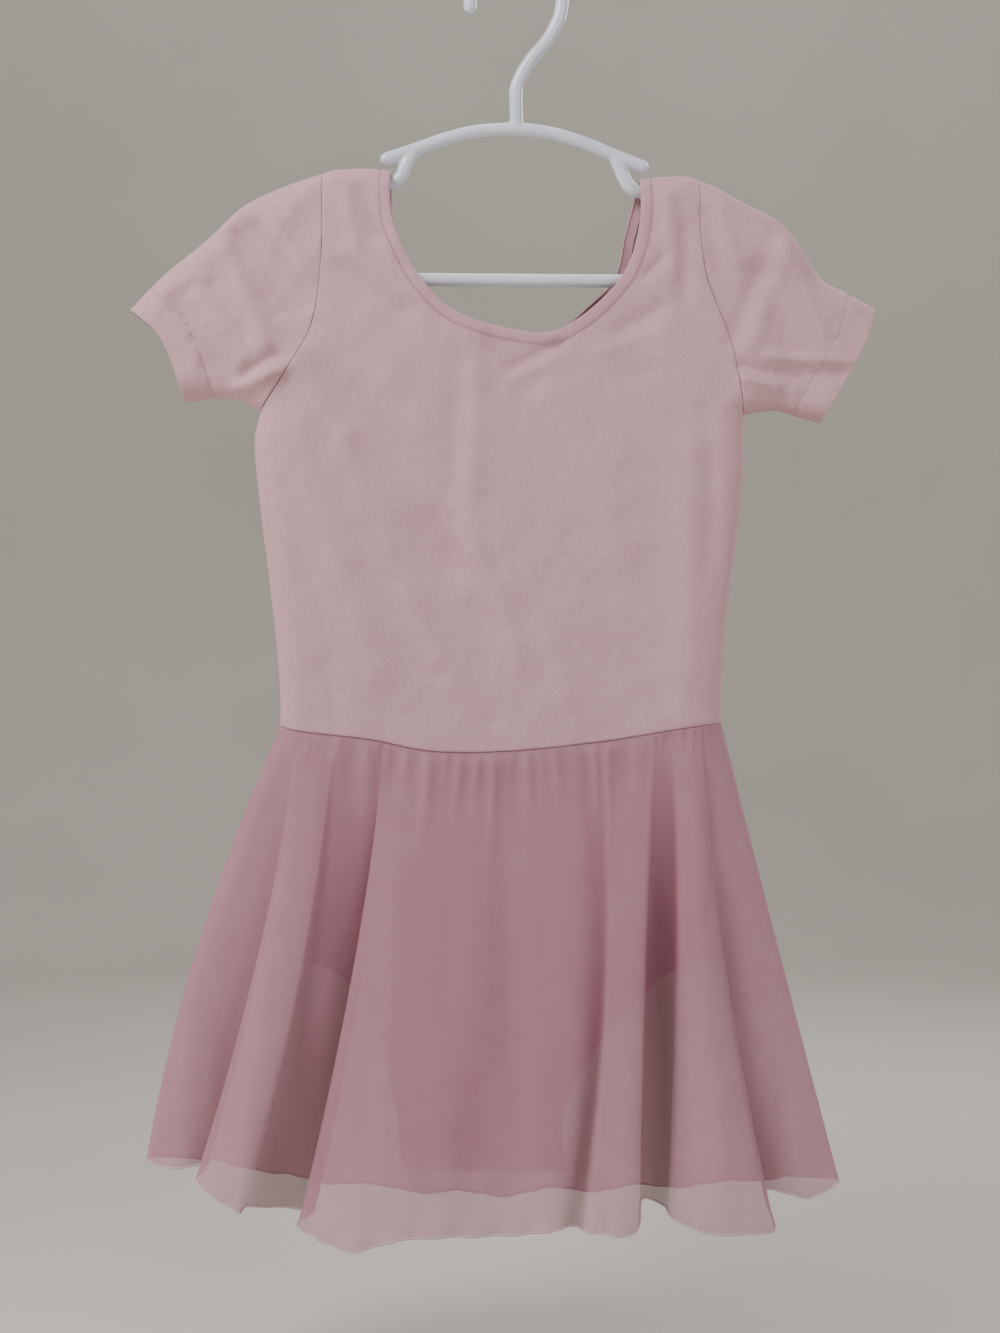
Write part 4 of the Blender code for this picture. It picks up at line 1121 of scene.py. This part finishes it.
def add_lights():
    """Soft daylight from the upper left front, fills round it, and light on the backdrop."""
    middle = (0.0, 0.0, -0.38)
    white = (1.0, 0.99, 0.975)
    add_area_light("key", (-0.58, -0.56, 0.45), middle, 0.36, 9.5, white)
    add_area_light("side", (-0.95, -0.22, -0.45), (0.0, -0.02, -0.5), 0.35, 3.2, white)
    add_area_light("fill", (0.85, -0.8, -0.05), middle, 0.6, 5.0, (0.97, 0.98, 1.0))
    add_area_light("back", (0.7, 0.8, 0.4), middle, 0.6, 8.0, white)
    add_area_light("backdrop_behind", (0.0, 0.7, 1.7), (0.0, 2.2, -0.3), 0.8, 15.0, white)
    add_area_light("backdrop_before", (0.0, -0.7, 1.7), (0.0, -2.2, -0.3), 0.8, 6.0, white)
    world = bpy.data.worlds.new("studio")
    world.use_nodes = True
    sky = world.node_tree.nodes["Background"]
    sky.inputs["Color"].default_value = (0.95, 0.96, 1.0, 1.0)
    sky.inputs["Strength"].default_value = 0.14
    bpy.context.scene.world = world


def hem_roll(name, surface, finish):
    """The narrow rolled edge along a skirt panel's hem."""
    mesh = tubes_mesh(name, [(surface[-1], HEM_ROLL_RADIUS)], 8)
    return add_piece(name, mesh, finish)


def sleeve_hem_lines(flat, side):
    """A sleeve's row of stitches on one side, as points and outward normals."""
    grid = on_side(flat, sleeve_depth(flat, side), side)
    away = distance_to_lines(flat, CUFFS)
    columns = np.arange(2, flat.shape[1] - 2)
    rows = np.argmin(np.abs(away[:, columns] - HEM_STITCH), axis=0)
    normals = grid_normals(grid, False)
    facing = np.sign(normals[..., 1:2]) * side
    return grid[rows, columns], (normals * facing)[rows, columns]


def build_dress():
    """Every piece of the dress."""
    jersey = jersey_material("jersey", linear(205, 161, 170), linear(213, 171, 179))
    binding_cloth = jersey_material("binding", linear(202, 157, 167), linear(209, 165, 175))
    brief_cloth = jersey_material("brief_jersey", linear(192, 150, 158), linear(206, 167, 174))
    chiffon = chiffon_material()
    edge = thread_material("hem_thread", linear(202, 166, 176), linear(214, 184, 192))
    thread = thread_material("seam_thread", linear(172, 134, 141), linear(188, 152, 158))

    binding_points = binding_grid()
    binding = add_cloth("binding_cloth", [binding_points], binding_cloth, BINDING_WALL,
                        closed=True, flip=True, nodes=["neck_binding"])
    outward = -grid_normals(binding_points, True)
    around, facing = (np.vstack([grid[BINDING_STITCH_ROW], grid[BINDING_STITCH_ROW, :1]])
                      for grid in (binding_points, outward))
    zigzag = stitches_on(around, facing, pitch=1.25, length=1.7, lean=38.0, lift=0.02, radius=0.17)
    neck_stitches = add_stitches("binding_stitches", zigzag, thread)

    panels = (("bodice_front", NECK_FRONT, FRONT, CREASES_FRONT, (0.29, 0.325), 0.0725,
               [binding, neck_stitches]),
              ("bodice_back", NECK_BACK, BACK, CREASES_BACK, (0.29, 0.325), 0.0700, []))
    for node, neck, side, creases, flat, area, extras in panels:
        panel = add_bodice_panel(node + "_cloth", neck, side, creases + CREASES_SLEEVES, jersey,
                                 node)

    sleeves = (("sleeve_left", ARMHOLE_LEFT, CUFF_LEFT, SLEEVE_TOP_LEFT, UNDERSLEEVE_LEFT, 1,
                (0.29, 0.125), 0.0185),
               ("sleeve_right", ARMHOLE_RIGHT, CUFF_RIGHT, SLEEVE_TOP_RIGHT, UNDERSLEEVE_RIGHT, -1,
                (0.29, 0.115), 0.0160))
    for node, armhole, cuff, over, under, outwards, flat, area in sleeves:
        shape = sleeve_flat(armhole, cuff, over, under, outwards)
        sleeve = add_sleeve(node + "_cloth", shape, outwards < 0, jersey, node)
        paths = []
        for side in (FRONT, BACK):
            line, normals = sleeve_hem_lines(shape, side)
            paths += stitches_on(line, normals, pitch=2.4, length=1.9, lean=6.0, lift=0.05,
                                 radius=0.16)
        hem = add_stitches(node + "_stitches", paths, thread)

    skirts = (("skirt_front", FOLDS_FRONT, FRONT, GATHERS_FRONT, (0.62, 0.27), 0.105),
              ("skirt_back", FOLDS_BACK, BACK, GATHERS_BACK, (0.52, 0.27), 0.098))
    for node, folds, side, gathers, flat, area in skirts:
        surface = skirt_surface(folds, side, gathers)[::-1]
        # Each skirt panel carries the mask of painted shade between its folds.
        skirt = add_cloth(node + "_cloth", [surface], chiffon, CHIFFON,
                          flip=side == BACK, nodes=[node], painted_fold_shade=painted_shade_between_folds(surface))
        roll = hem_roll(node + "_hem", surface[::-1], edge)

    for node, side in (("brief_front", FRONT), ("brief_back", BACK)):
        brief = add_cloth(node + "_cloth", [brief_surface(side)], brief_cloth,
                          JERSEY, flip=side == BACK, nodes=[node])


add_camera()
add_stage()
add_lights()
add_hanger(plastic_material())
build_dress()
